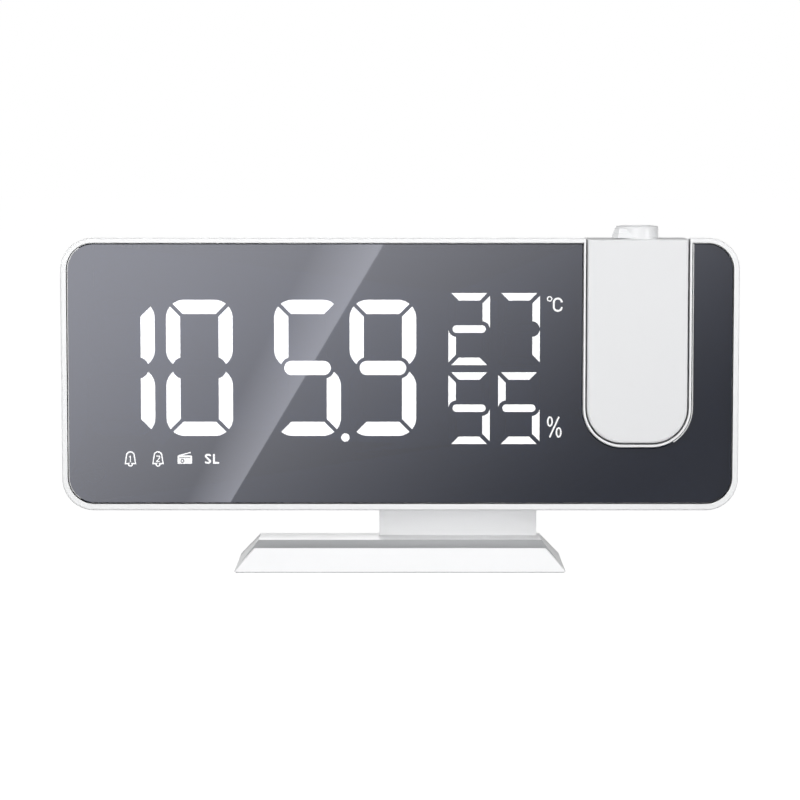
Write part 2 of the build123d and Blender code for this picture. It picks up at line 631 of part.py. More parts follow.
def draw_bell(x, number):
    """Returns the drawing of a bell outline around a plain number."""
    stem, half = BELL_NUMBER_RISE, BELL_NUMBER_HALF
    numbers = {
        1: [(x - half / 2, ICON_Z + stem * 0.7), (x, ICON_Z + stem), (x, ICON_Z - stem)],
        2: [
            (x - half, ICON_Z + stem),
            (x + half, ICON_Z + stem),
            (x + half, ICON_Z + stem / 4),
            (x - half, ICON_Z - stem),
            (x + half, ICON_Z - stem),
        ],
    }

    def draw(grow):
        bell_outline(x, grow)
        if not grow:
            with BuildSketch(mode=Mode.PRIVATE) as hollow:
                bell_outline(x, -THIN_STROKE * 0.8)
            add(hollow.sketch, mode=Mode.SUBTRACT)
            stroke_path(numbers[number], THIN_STROKE * 0.6)

    return draw


def draw_radio(grow):
    """A small table radio with a slanted aerial."""
    left, right = RADIO_X - RADIO_WIDTH / 2, RADIO_X + RADIO_WIDTH / 2
    low = ICON_Z - RADIO_HEIGHT / 2 - THIN_STROKE / 2
    with Locations((RADIO_X, low + RADIO_HEIGHT / 2)):
        RectangleRounded(RADIO_WIDTH + 2 * grow, RADIO_HEIGHT + 2 * grow, THIN_STROKE / 2 + grow)
    if not grow:
        with Locations((RADIO_X, low + RADIO_HEIGHT - THIN_STROKE * 1.4)):
            Rectangle(RADIO_WIDTH - 2 * THIN_STROKE, THIN_STROKE / 2, mode=Mode.SUBTRACT)
        with Locations((RADIO_X - RADIO_WIDTH / 6, low + RADIO_HEIGHT / 3)):
            Circle(RADIO_DIAL, mode=Mode.SUBTRACT)
            Circle(RADIO_DIAL / 2)
    top = low + RADIO_HEIGHT
    straight_stroke(
        (left + THIN_STROKE, top),
        (right - THIN_STROKE, top + RADIO_HANDLE_RISE),
        THIN_STROKE * 0.7 + 2 * grow,
    )


def draw_sleep(grow):
    """The two plain letters S and L, for the sleep timer."""
    half, middle = SLEEP_HEIGHT / 2 - BOLD_STROKE / 2, SLEEP_X - SLEEP_ADVANCE / 2
    left, right = middle - LETTER_HALF, middle + LETTER_HALF
    upper = [
        (right, ICON_Z + half - LETTER_BEND / 2),
        (right - LETTER_BEND, ICON_Z + half),
        (left + LETTER_BEND, ICON_Z + half),
        (left, ICON_Z + half - LETTER_BEND),
        (left, ICON_Z + 2 * LETTER_BEND),
        (middle, ICON_Z),
    ]
    lower = [(2 * middle - x, 2 * ICON_Z - z) for x, z in upper]
    stroke_path(upper, BOLD_STROKE + 2 * grow)
    stroke_path(lower, BOLD_STROKE + 2 * grow)
    left += SLEEP_ADVANCE
    right += SLEEP_ADVANCE
    corner = [(left, ICON_Z + half), (left, ICON_Z - half), (right, ICON_Z - half)]
    stroke_path(corner, BOLD_STROKE + 2 * grow)


Place = namedtuple("Place", "name style centre lit")
DIGITS = [
    Place("digit_hour_tens", LARGE, (LARGE_X[0], LARGE_Z), "bc"),
    Place("digit_hour_units", LARGE, (LARGE_X[1], LARGE_Z), "abcdef"),
    Place("digit_minute_tens", LARGE, (LARGE_X[2], LARGE_Z), "afgcd"),
    Place("digit_minute_units", LARGE, (LARGE_X[3], LARGE_Z), "abcdfg"),
    Place("digit_temperature_tens", SMALL, (SMALL_X[0], SMALL_Z[0]), "abged"),
    Place("digit_temperature_units", SMALL, (SMALL_X[1], SMALL_Z[0]), "abc"),
    Place("digit_humidity_tens", SMALL, (SMALL_X[0], SMALL_Z[1]), "afgcd"),
    Place("digit_humidity_units", SMALL, (SMALL_X[1], SMALL_Z[1]), "afgcd"),
]
SYMBOLS = {
    "display_point": [draw_point],
    "unit_symbols": [draw_celsius, draw_percent],
    "alarm_symbols": [draw_bell(BELL_ONE_X, 1), draw_bell(BELL_TWO_X, 2)],
    "function_symbols": [draw_radio, draw_sleep],
}

for place in DIGITS:
    lit_piece(
        place.name, [lambda grow, at=place: place_bars(at.style, at.centre, at.lit, grow)]
    )
for symbol_name, drawings in SYMBOLS.items():
    lit_piece(symbol_name, drawings)

with BuildPart() as unlit_bars:
    with BuildSketch(facing_front(PANEL_BACK)):
        for place in DIGITS:
            unlit = [letter for letter in "abcdefg" if letter not in place.lit]
            place_bars(place.style, place.centre, unlit)
    extrude(amount=-BAR_DEPTH)
write(unlit_bars, "unlit_bars")

with BuildSketch() as windows:
    for place in DIGITS:
        place_bars(place.style, place.centre, "abcdefg", WINDOW_FIT)
    for drawings in SYMBOLS.values():
        for draw in drawings:
            draw(WINDOW_FIT)

with BuildPart() as light_box:
    with BuildSketch(facing_front(PANEL_BACK)):
        frame_rectangle(*LIGHT_BOX)
        frame_rectangle(*LIGHT_BOX_EAR)
        add(windows.sketch, mode=Mode.SUBTRACT)
    extrude(amount=-BAR_DEPTH)
write(light_box, "light_box")

with BuildPart() as panel_print:
    with BuildSketch(facing_front(PANEL_BACK - PRINT)):
        panel_outline(PANEL_GAP)
        u_outline(
            POCKET_WIDTH + 2 * (TUB_RIM + PANEL_GAP),
            RIM_BOTTOM - PANEL_GAP,
            RIM_CORNER + PANEL_GAP,
            BODY_TOP,
            Mode.SUBTRACT,
        )
        add(windows.sketch, mode=Mode.SUBTRACT)
    extrude(amount=-PRINT)
write(panel_print, "panel_print")

with BuildPart() as display_board:
    with BuildSketch(facing_front(DISPLAY_BOARD_Y)):
        frame_rectangle(*LIGHT_BOX)
        frame_rectangle(*LIGHT_BOX_EAR)
    extrude(amount=-BOARD)
write(display_board, "display_board")

# ---- Rear housing -----------------------------------------------------------
MAIN_BOARD_BACK = MAIN_BOARD_Y + BOARD
COVER_HOLE = COVER_RADIUS + COVER_GAP
LUG_REACH = COVER_RADIUS + COVER_LUG
CUP_RADIUS = LUG_REACH + 2 * COVER_GAP
CUP_BACK = INNER_BACK - CUP_FLOOR - COIN_THICKNESS - COVER_GAP
USB_SLOT = (USB_WIDTH + 2 * PORT_GAP, USB_HEIGHT + 2 * PORT_GAP)
SNOOZE_SLOT = (SNOOZE_WIDTH + 2 * KEY_GAP, SNOOZE_DEPTH + 2 * KEY_GAP)
PAD_TOP = HOUSING_BOTTOM + PAD_HEIGHT


def housing_outline(inset):
    """Adds the housing's outline at the seam, drawn in by an inset."""
    with Locations((0, BODY_MID)):
        RectangleRounded(
            HOUSING_WIDTH - 2 * inset, HOUSING_HEIGHT - 2 * inset, HOUSING_CORNER - inset
        )


with BuildPart() as rear_housing:
    with BuildSketch(facing_back(SEAM)):
        housing_outline(0)
    extrude(amount=HOUSING_DEPTH, taper=HOUSING_DRAFT)
    fillet(rear_housing.faces().sort_by(Axis.Y)[-1].edges(), HOUSING_BACK_ROUND)
    with BuildSketch(facing_back(SEAM)):
        housing_outline(WALL)
    extrude(amount=HOUSING_DEPTH - WALL, taper=HOUSING_DRAFT, mode=Mode.SUBTRACT)
    # Posts for the screws, the boards and the stand
    with BuildSketch(facing_front(SEAM)):
        with Locations(*HOUSING_SCREWS):
            Circle(BOSS_RADIUS)
    extrude(amount=-(INNER_BACK - SEAM))
    with BuildSketch(facing_front(MAIN_BOARD_BACK)):
        with Locations(*BOARD_POSTS):
            Circle(POST_RADIUS)
    extrude(amount=-(INNER_BACK - MAIN_BOARD_BACK))
    with BuildSketch(facing_front(KEY_BOARD_Y + BOARD)):
        with Locations(*KEY_POSTS):
            Circle(POST_RADIUS / 2)
    extrude(amount=-(INNER_BACK - KEY_BOARD_Y - BOARD))
    with BuildSketch(Plane.XY.offset(PAD_BOTTOM)):
        with Locations((NECK_X, NECK_FLANGE_Y)):
            Rectangle(NECK_WIDTH, NECK_FLANGE_DEPTH)
    extrude(amount=PAD_TOP - PAD_BOTTOM)
    # Speaker seat and coin cell cup
    with BuildSketch(facing_front(INNER_BACK - SPEAKER_RIB_DEPTH)):
        with Locations((SPEAKER_X, SPEAKER_Z)):
            Circle(SPEAKER_RADIUS + SPEAKER_FIT + SPEAKER_RIB)
            Circle(SPEAKER_RADIUS + SPEAKER_FIT, mode=Mode.SUBTRACT)
    extrude(amount=-SPEAKER_RIB_DEPTH)
    with BuildSketch(facing_front(CUP_BACK)):
        with Locations((CELL_X, CELL_Z)):
            Circle(CUP_RADIUS + COVER_LUG)
    extrude(amount=-(INNER_BACK - CUP_BACK))
    with BuildSketch(facing_front(CUP_BACK + CUP_FLOOR)):
        with Locations((CELL_X, CELL_Z)):
            Circle(COIN_RADIUS + CUP_GAP)
    extrude(amount=-(BACK - CUP_BACK - CUP_FLOOR), mode=Mode.SUBTRACT)
    # Round hole for the twist-off cover, with its undercut and the two ways in
    with BuildSketch(facing_front(INNER_BACK)):
        with Locations((CELL_X, CELL_Z)):
            Circle(COVER_HOLE)
    extrude(amount=-WALL, mode=Mode.SUBTRACT)
    with BuildSketch(facing_front(INNER_BACK)):
        with Locations((CELL_X, CELL_Z)):
            Circle(CUP_RADIUS)
    extrude(amount=-(COVER_LUG_THICKNESS + COVER_GAP), mode=Mode.SUBTRACT)
    with BuildSketch(facing_front(INNER_BACK)):
        with Locations((CELL_X, CELL_Z)):
            Rectangle(2 * LUG_REACH + 2 * COVER_GAP, COVER_LUG_WIDTH + 4 * COVER_GAP, rotation=-COVER_TURN)
    extrude(amount=-WALL, mode=Mode.SUBTRACT)
    # Holes in the rear wall
    with BuildSketch(facing_front(SEAM)):
        with Locations(*HOUSING_SCREWS):
            Circle(SCREW_CLEAR)
    extrude(amount=-HOUSING_DEPTH, mode=Mode.SUBTRACT)
    with BuildSketch(facing_front(BACK - HOUSING_SCREW_SINK)):
        with Locations(*HOUSING_SCREWS):
            Circle(SCREW_HEAD_RADIUS + HEAD_GAP)
    extrude(amount=-HOUSING_SCREW_SINK, mode=Mode.SUBTRACT)
    with BuildSketch(facing_front(INNER_BACK)):
        for place in KEY_PLACES:
            with Locations(place):
                RectangleRounded(
                    KEY_WIDTH + 2 * KEY_GAP, KEY_HEIGHT + 2 * KEY_GAP, KEY_CORNER + KEY_GAP
                )
        with Locations((SPEAKER_X, SPEAKER_Z)):
            Circle(GRILLE_HOLE)
            for radius, count in GRILLE_RINGS:
                with PolarLocations(radius, count):
                    Circle(GRILLE_HOLE)
        with Locations((JACK_X, PORT_Z)):
            Circle(JACK_NOSE + PORT_GAP)
        with Locations((USB_X, PORT_Z)):
            Rectangle(*USB_SLOT)
        with Locations((GROMMET_X, GROMMET_Z)):
            Circle(GROMMET_RADIUS)
    extrude(amount=-WALL, mode=Mode.SUBTRACT)
    # Pilot holes for the small screws
    with BuildSketch(facing_front(MAIN_BOARD_BACK)):
        with Locations(*BOARD_POSTS):
            Circle(SMALL_PILOT)
    extrude(amount=-(INNER_BACK - MAIN_BOARD_BACK), mode=Mode.SUBTRACT)
    with BuildSketch(Plane.XY.offset(PAD_BOTTOM)):
        with Locations(*BODY_SCREWS):
            Circle(SCREW_RADIUS)
    extrude(amount=PAD_TOP - PAD_BOTTOM - SCREW_END_GAP, mode=Mode.SUBTRACT)
    # Slot for the snooze key, and the notch that the arm's tub fills
    with BuildSketch(Plane.XY.offset(HOUSING_TOP - 2.5 * WALL)):
        with Locations((SNOOZE_X, SNOOZE_Y)):
            RectangleRounded(*SNOOZE_SLOT, KEY_CORNER + KEY_GAP)
    extrude(amount=3 * WALL, mode=Mode.SUBTRACT)
    with BuildSketch(facing_front(SEAM)):
        frame_rectangle(
            ARM_X - TUB_WIDTH / 2 - PANEL_GAP,
            ARM_X + TUB_WIDTH / 2 + PANEL_GAP,
            BODY_MID,
            BODY_TOP + ABOVE,
        )
    extrude(amount=-(TUB_BACK + PANEL_GAP - SEAM), mode=Mode.SUBTRACT)
write(rear_housing, "rear_housing")

with BuildPart() as housing_screws:
    with BuildSketch(facing_front(BACK - HOUSING_SCREW_SINK)):
        with Locations(*HOUSING_SCREWS):
            Circle(SCREW_RADIUS)
    extrude(amount=HOUSING_SCREW_LENGTH - SCREW_END_GAP + BACK - HOUSING_SCREW_SINK - SEAM)
    with BuildSketch(facing_front(BACK - HOUSING_SCREW_SINK)):
        with Locations(*HOUSING_SCREWS):
            Circle(SCREW_HEAD_RADIUS)
    extrude(amount=-SCREW_HEAD)
    with BuildSketch(facing_front(BACK - HOUSING_SCREW_SINK + SCREW_HEAD)):
        for place in HOUSING_SCREWS:
            with Locations(place):
                Rectangle(CROSS_LENGTH, CROSS_WIDTH)
                Rectangle(CROSS_WIDTH, CROSS_LENGTH)
    extrude(amount=SCREW_HEAD / 2, mode=Mode.SUBTRACT)
write(housing_screws, "housing_screws")

# ---- Coin cell and its cover ------------------------------------------------
with BuildPart() as coin_cell:
    with BuildSketch(facing_front(CUP_BACK + CUP_FLOOR)):
        with Locations((CELL_X, CELL_Z)):
            Circle(COIN_RADIUS)
    extrude(amount=-COIN_THICKNESS)
    chamfer(coin_cell.edges().filter_by(GeomType.CIRCLE), COIN_EDGE)
write(coin_cell, "coin_cell")

with BuildPart() as battery_cover:
    with BuildSketch(facing_front(INNER_BACK + COVER_GAP)):
        with Locations((CELL_X, CELL_Z)):
            Circle(COVER_RADIUS)
    extrude(amount=-(WALL - COVER_GAP))
    with BuildSketch(facing_front(INNER_BACK + COVER_GAP)):
        with Locations((CELL_X, CELL_Z)):
            Rectangle(2 * LUG_REACH, COVER_LUG_WIDTH)
            Circle(LUG_REACH, mode=Mode.INTERSECT)
    extrude(amount=-(COVER_LUG_THICKNESS - COVER_GAP))
    with BuildSketch(facing_front(BACK)):
        with Locations((CELL_X, CELL_Z)):
            SlotOverall(COVER_RADIUS * 1.4, COIN_SLOT_WIDTH)
    extrude(amount=COIN_SLOT_DEPTH, mode=Mode.SUBTRACT)
write(battery_cover, "battery_cover")

# ---- Speaker ----------------------------------------------------------------
with BuildPart() as speaker:
    with BuildSketch(facing_front(INNER_BACK)):
        with Locations((SPEAKER_X, SPEAKER_Z)):
            Circle(SPEAKER_RADIUS)
    extrude(amount=SPEAKER_FLANGE)
    with BuildSketch(facing_front(INNER_BACK - SPEAKER_FLANGE)):
        with Locations((SPEAKER_X, SPEAKER_Z)):
            Circle(SPEAKER_RADIUS - 2 * SPEAKER_RIB)
    extrude(amount=SPEAKER_DEPTH / 2, taper=SPEAKER_TAPER)
    with BuildSketch(facing_front(INNER_BACK - SPEAKER_FLANGE)):
        with Locations((SPEAKER_X, SPEAKER_Z)):
            Circle(SPEAKER_MAGNET)
    extrude(amount=SPEAKER_DEPTH)
write(speaker, "speaker")

# ---- Main board -------------------------------------------------------------
with BuildPart() as main_board:
    with BuildSketch(facing_front(MAIN_BOARD_Y)):
        frame_rectangle(*MAIN_BOARD)
        with Locations(*BOARD_POSTS):
            Circle(SMALL_CLEAR, mode=Mode.SUBTRACT)
    extrude(amount=-BOARD)
write(main_board, "main_board")

# Chips: their place and size as shares of the board's, and their thickness in boards
Chip = namedtuple("Chip", "across up width height thickness")
CHIPS = [
    Chip(0.13, 0.75, 0.128, 0.125, 0.95),
    Chip(0.33, 0.64, 0.090, 0.125, 0.75),
    Chip(0.15, 0.57, 0.064, 0.057, 0.90),
    Chip(0.54, 0.39, 0.103, 0.107, 0.95),
    Chip(0.77, 0.36, 0.077, 0.089, 1.60),
    Chip(0.90, 0.39, 0.051, 0.143, 1.10),
]
BOARD_WIDTH, BOARD_HEIGHT = MAIN_BOARD[1] - MAIN_BOARD[0], MAIN_BOARD[3] - MAIN_BOARD[2]
with BuildPart() as board_chips:
    for chip in CHIPS:
        chip_x = MAIN_BOARD[0] + chip.across * BOARD_WIDTH
        chip_z = MAIN_BOARD[2] + chip.up * BOARD_HEIGHT
        with BuildSketch(facing_front(MAIN_BOARD_BACK)):
            with Locations((chip_x, chip_z)):
                Rectangle(chip.width * BOARD_WIDTH, chip.height * BOARD_HEIGHT)
        extrude(amount=-chip.thickness * BOARD)
write(board_chips, "board_chips")

with BuildPart() as board_screws:
    with BuildSketch(facing_front(MAIN_BOARD_Y)):
        with Locations(*BOARD_POSTS):
            Circle(SMALL_SCREW_HEAD_RADIUS)
    extrude(amount=SMALL_SCREW_HEAD)
    with BuildSketch(facing_front(MAIN_BOARD_Y)):
        with Locations(*BOARD_POSTS):
            Circle(SMALL_PILOT)
    extrude(amount=-SMALL_SCREW_LENGTH)
write(board_screws, "board_screws")

# ---- Sockets and grommet ----------------------------------------------------
with BuildPart() as power_socket:
    with BuildSketch(facing_front(MAIN_BOARD_BACK)):
        with Locations((JACK_X, PORT_Z)):
            Rectangle(JACK_SIDE, JACK_SIDE)
    extrude(amount=-(INNER_BACK - MAIN_BOARD_BACK))
    with BuildSketch(facing_front(INNER_BACK)):
        with Locations((JACK_X, PORT_Z)):
            Circle(JACK_NOSE)
    extrude(amount=-WALL)
    with BuildSketch(facing_front(BACK)):
        with Locations((JACK_X, PORT_Z)):
            Circle(JACK_BORE)
            Circle(JACK_PIN, mode=Mode.SUBTRACT)
    extrude(amount=JACK_BORE_DEPTH, mode=Mode.SUBTRACT)
write(power_socket, "power_socket")

with BuildPart() as usb_socket:
    with BuildSketch(facing_front(MAIN_BOARD_BACK)):
        with Locations((USB_X, PORT_Z)):
            Rectangle(USB_WIDTH, USB_HEIGHT)
    extrude(amount=-(BACK - MAIN_BOARD_BACK))
    with BuildSketch(facing_front(BACK)):
        with Locations((USB_X, PORT_Z)):
            Rectangle(USB_WIDTH - 2 * USB_SHEET, USB_HEIGHT - 2 * USB_SHEET)
        with Locations((USB_X, PORT_Z + USB_HEIGHT / 2 - USB_SHEET - USB_TONGUE / 2)):
            Rectangle(USB_WIDTH - 4 * USB_SHEET, USB_TONGUE, mode=Mode.SUBTRACT)
    extrude(amount=BACK - MAIN_BOARD_BACK - USB_END_WALL, mode=Mode.SUBTRACT)
write(usb_socket, "usb_socket")

with BuildPart() as aerial_grommet:
    for radius, start, depth in (
        (GROMMET_RADIUS, INNER_BACK, WALL),
        (GROMMET_RADIUS + GROMMET_LIP, INNER_BACK - GROMMET_LIP, GROMMET_LIP),
        (GROMMET_RADIUS + GROMMET_LIP, BACK, GROMMET_LIP),
    ):
        with BuildSketch(facing_front(start)):
            with Locations((GROMMET_X, GROMMET_Z)):
                Circle(radius)
        extrude(amount=-depth)
    with BuildSketch(facing_front(INNER_BACK - GROMMET_LIP)):
        with Locations((GROMMET_X, GROMMET_Z)):
            Circle(GROMMET_BORE)
    extrude(amount=-(WALL + 2 * GROMMET_LIP), mode=Mode.SUBTRACT)
write(aerial_grommet, "aerial_grommet")

# ---- Keys -------------------------------------------------------------------
SWITCH_TOP = KEY_BOARD_Y + BOARD + SWITCH_HEIGHT
KEY_STEM_GAP = KEY_TRAVEL + STEM_GAP
KEY_NAMES = ["key_mode", "key_set", "key_up", "key_down", "key_alarm", "key_projector"]
for key_name, (key_x, key_z) in zip(KEY_NAMES, KEY_PLACES):
    with BuildPart() as key:
        with BuildSketch(facing_front(INNER_BACK)):
            with Locations((key_x, key_z)):
                RectangleRounded(KEY_WIDTH, KEY_HEIGHT, KEY_CORNER)
        extrude(amount=-(WALL + KEY_PROUD))
        fillet(key.faces().sort_by(Axis.Y)[-1].edges(), KEY_PROUD / 2)
        with BuildSketch(facing_front(INNER_BACK - KEY_FLANGE)):
            with Locations((key_x, key_z)):
                RectangleRounded(
                    KEY_WIDTH + 2 * KEY_FLANGE, KEY_HEIGHT + 2 * KEY_FLANGE, KEY_CORNER + KEY_FLANGE
                )
        extrude(amount=-KEY_FLANGE)
        with BuildSketch(facing_front(SWITCH_TOP + KEY_STEM_GAP)):
            with Locations((key_x, key_z)):
                Circle(KEY_STEM)
        extrude(amount=-(INNER_BACK - SWITCH_TOP - KEY_STEM_GAP))
    write(key, key_name)

with BuildPart() as key_board:
    with BuildSketch(facing_front(KEY_BOARD_Y)):
        with Locations((KEY_X, KEY_Z)):
            Rectangle(KEY_BOARD_WIDTH, KEY_BOARD_HEIGHT)
    extrude(amount=-BOARD)
write(key_board, "key_board")

with BuildPart() as key_switches:
    with BuildSketch(facing_front(KEY_BOARD_Y + BOARD)):
        for place in KEY_PLACES:
            with Locations(place):
                Rectangle(SWITCH_SIDE, SWITCH_SIDE)
    extrude(amount=-SWITCH_HEIGHT)
write(key_switches, "key_switches")

# The snooze key sits in the top of the housing, on a switch at the main board's upper edge
SNOOZE_SWITCH_TOP = MAIN_BOARD[3] + SNOOZE_SWITCH_RISE
SNOOZE_LEG_BOTTOM = SNOOZE_SWITCH_TOP + SNOOZE_TRAVEL + STEM_GAP
SNOOZE_FLANGE_TOP = SNOOZE_ROOF - WALL - SNOOZE_DEPTH * tan(radians(HOUSING_DRAFT))
with BuildPart() as snooze_key:
    with BuildSketch(Plane.XY.offset(SNOOZE_FLANGE_TOP)):
        with Locations((SNOOZE_X, SNOOZE_Y)):
            RectangleRounded(SNOOZE_WIDTH, SNOOZE_DEPTH, KEY_CORNER)
    extrude(amount=SNOOZE_ROOF + SNOOZE_PROUD - SNOOZE_FLANGE_TOP)
    fillet(snooze_key.faces().sort_by(Axis.Z)[-1].edges(), SNOOZE_PROUD)
    with BuildSketch(Plane.XY.offset(SNOOZE_FLANGE_TOP)):
        with Locations((SNOOZE_X, SNOOZE_Y)):
            Rectangle(SNOOZE_WIDTH + 2 * KEY_FLANGE, SNOOZE_DEPTH + KEY_FLANGE)
    extrude(amount=-KEY_FLANGE)
    with BuildSketch(Plane.XY.offset(SNOOZE_LEG_BOTTOM)):
        with Locations((SNOOZE_X, MAIN_BOARD_BACK + SWITCH_SIDE / 2)):
            Rectangle(KEY_STEM * 2, KEY_STEM * 2)
    extrude(amount=SNOOZE_FLANGE_TOP - SNOOZE_LEG_BOTTOM)
write(snooze_key, "snooze_key")

with BuildPart() as snooze_switch:
    with BuildSketch(facing_front(MAIN_BOARD_BACK)):
        with Locations((SNOOZE_X, SNOOZE_SWITCH_TOP - SWITCH_SIDE / 2)):
            Rectangle(SWITCH_SIDE, SWITCH_SIDE)
    extrude(amount=-SWITCH_SIDE)
write(snooze_switch, "snooze_switch")

# ---- Projector arm ----------------------------------------------------------
def arm_outline(inset, top):
    """Adds the arm's outline, drawn in by an inset, up to a given top."""
    u_outline(ARM_WIDTH - 2 * inset, ARM_BOTTOM + inset, ARM_CORNER - inset, top)


with BuildPart() as arm_front_shell:
    with BuildSketch(facing_front(FRONT)):
        arm_outline(0, ARM_TOP)
    extrude(amount=-ARM_FRONT_DEPTH)
    fillet(arm_front_shell.faces().sort_by(Axis.Y)[0].edges(), ARM_EDGE)
    with BuildSketch(facing_front(FRONT + ARM_WALL)):
        arm_outline(ARM_WALL, ARM_TOP - ARM_TOP_WALL)
    extrude(amount=-(ARM_FRONT_DEPTH - ARM_WALL), mode=Mode.SUBTRACT)
    with BuildSketch(facing_front(FRONT + ARM_WALL)):
        with Locations(*ARM_SCREWS):
            Circle(ARM_BOSS)
    extrude(amount=-(ARM_FRONT_DEPTH - ARM_WALL))
    with BuildSketch(facing_front(ARM_SEAM)):
        with Locations(*ARM_SCREWS):
            Circle(ARM_PILOT)
    extrude(amount=ARM_SCREW_DEPTH, mode=Mode.SUBTRACT)
    with BuildSketch(Plane.XY.offset(ARM_TOP)):
        with Locations((ARM_X, LENS_Y)):
            Circle(BARREL_RADIUS + PRESS_GAP)
    extrude(amount=-(ARM_TOP_WALL + ABOVE), mode=Mode.SUBTRACT)
write(arm_front_shell, "arm_front_shell")

with BuildPart() as arm_rear_shell:
    with BuildSketch(facing_front(ARM_SEAM)):
        arm_outline(0, ARM_TOP)
    extrude(amount=-ARM_REAR_DEPTH)
    back_edges = arm_rear_shell.faces().sort_by(Axis.Y)[-1].edges()
    fillet(back_edges.sort_by(Axis.Z)[-1], KNUCKLE_RADIUS - PRESS_GAP)
    with BuildSketch(facing_front(ARM_SEAM)):
        arm_outline(ARM_WALL, ARM_TOP - KNUCKLE_BLOCK)
        with Locations(*ARM_SCREWS):
            Circle(ARM_BOSS, mode=Mode.SUBTRACT)
    extrude(amount=-(ARM_REAR_DEPTH - ARM_REAR_PLATE), mode=Mode.SUBTRACT)
    with BuildSketch(facing_front(ARM_SEAM)):
        with Locations(*ARM_SCREWS):
            Circle(ARM_PILOT + PRESS_GAP)
    extrude(amount=-ARM_REAR_DEPTH, mode=Mode.SUBTRACT)
    with BuildSketch(facing_front(ARM_BACK)):
        with Locations(*ARM_SCREWS):
            Circle(ARM_HEAD_RADIUS + HEAD_GAP / 2)
    extrude(amount=ARM_HEAD, mode=Mode.SUBTRACT)
    with BuildSketch(sideways(ARM_X)):
        with Locations((HINGE_Y, HINGE_Z)):
            Circle(PIN_RADIUS + RUNNING_FIT)
    extrude(amount=ARM_WIDTH / 2, both=True, mode=Mode.SUBTRACT)
write(arm_rear_shell, "arm_rear_shell")

with BuildPart() as arm_screws:
    with BuildSketch(facing_front(ARM_BACK - ARM_HEAD)):
        with Locations(*ARM_SCREWS):
            Circle(ARM_PILOT)
    extrude(amount=ARM_SCREW_DEPTH)
    with BuildSketch(facing_front(ARM_BACK - ARM_HEAD)):
        with Locations(*ARM_SCREWS):
            Circle(ARM_HEAD_RADIUS)
    extrude(amount=-ARM_HEAD)
    with BuildSketch(facing_front(ARM_BACK)):
        for place in ARM_SCREWS:
            with Locations(place):
                Rectangle(SMALL_CROSS_LENGTH, SMALL_CROSS_WIDTH)
                Rectangle(SMALL_CROSS_WIDTH, SMALL_CROSS_LENGTH)
    extrude(amount=ARM_HEAD / 2, mode=Mode.SUBTRACT)
write(arm_screws, "arm_screws")

with BuildPart() as hinge_pin:
    with BuildSketch(sideways(ARM_X)):
        with Locations((HINGE_Y, HINGE_Z)):
            Circle(PIN_RADIUS - PRESS_GAP)
    extrude(amount=TUB_WIDTH / 2, both=True)
    chamfer(hinge_pin.edges().filter_by(GeomType.CIRCLE), PIN_EDGE)
write(hinge_pin, "hinge_pin")

with BuildPart() as hinge_washers:
    inner_edge = (ARM_GAP - WASHER_THICKNESS) / 2
    for side in (-1, 1):
        with BuildSketch(sideways(ARM_X + side * (ARM_WIDTH / 2 + inner_edge))):
            with Locations((HINGE_Y, HINGE_Z)):
                Circle(WASHER_RADIUS)
                Circle(PIN_RADIUS + PRESS_GAP, mode=Mode.SUBTRACT)
        extrude(amount=side * WASHER_THICKNESS)
write(hinge_washers, "hinge_washers")

# ---- Optics -----------------------------------------------------------------
LED_BOARD_Z = CARRIER_TOP - CARRIER_LENGTH
INNER_WIDTH = CARRIER_WIDTH - 2 * CARRIER_WALL
INNER_DEPTH = CARRIER_DEPTH - 2 * CARRIER_WALL


def dome(radius, bulge, z, up):
    """Draws a circular arc from the rim at height z to the axis, bulging up or down."""
    ball = (radius**2 + bulge**2) / (2 * bulge)
    half_way = sqrt(ball**2 - radius**2 / 4) - (ball - bulge)
    ThreePointArc((radius, z), (radius / 2, z + up * half_way), (0, z + up * bulge))


def lens_profile(z, radius, rim, lower_bulge, upper_bulge):
    """Adds half the section of a lens: a rim between two faces, each domed or flat."""
    with BuildLine(mode=Mode.PRIVATE) as edge:
        Line((radius, z), (radius, z + rim))
        for height, bulge, up in ((z, lower_bulge, -1), (z + rim, upper_bulge, 1)):
            if bulge:
                dome(radius, bulge, height, up)
            else:
                Line((radius, height), (0, height))
        Line((0, z - lower_bulge), (0, z + rim + upper_bulge))
    with BuildSketch(mode=Mode.PRIVATE) as half:
        add(edge.line)
        make_face()
    add(half.sketch)


with BuildPart() as optics_carrier:
    with BuildSketch(Plane.XY.offset(LED_BOARD_Z)):
        with Locations((ARM_X, LENS_Y)):
            Rectangle(CARRIER_WIDTH, CARRIER_DEPTH)
            Rectangle(INNER_WIDTH, INNER_DEPTH, mode=Mode.SUBTRACT)
    extrude(amount=CARRIER_LENGTH)
write(optics_carrier, "optics_carrier")

with BuildPart() as projector_board:
    with BuildSketch(Plane.XY.offset(LED_BOARD_Z)):
        with Locations((ARM_X, LENS_Y)):
            Rectangle(CARRIER_WIDTH, CARRIER_DEPTH)
    extrude(amount=-BOARD / 2)
write(projector_board, "projector_board")

with BuildPart() as projector_led:
    with BuildSketch(Plane.XY.offset(LED_BOARD_Z)):
        with Locations((ARM_X, LENS_Y)):
            Circle(LED_RADIUS)
    extrude(amount=LED_HEIGHT)
    fillet(projector_led.faces().sort_by(Axis.Z)[-1].edges(), LED_HEIGHT * 0.6)
write(projector_led, "projector_led")

with BuildPart() as condenser_lens:
    with BuildSketch(Plane.XZ):
        lens_profile(
            CARRIER_TOP - CONDENSER_DROP,
            INNER_DEPTH / 2 - RUNNING_FIT,
            CONDENSER_RIM,
            0,
            CONDENSER_BULGE,
        )
    revolve(axis=Axis.Z)
condenser_lens.part = condenser_lens.part.moved(Location((ARM_X, LENS_Y, 0)))
write(condenser_lens, "condenser_lens")

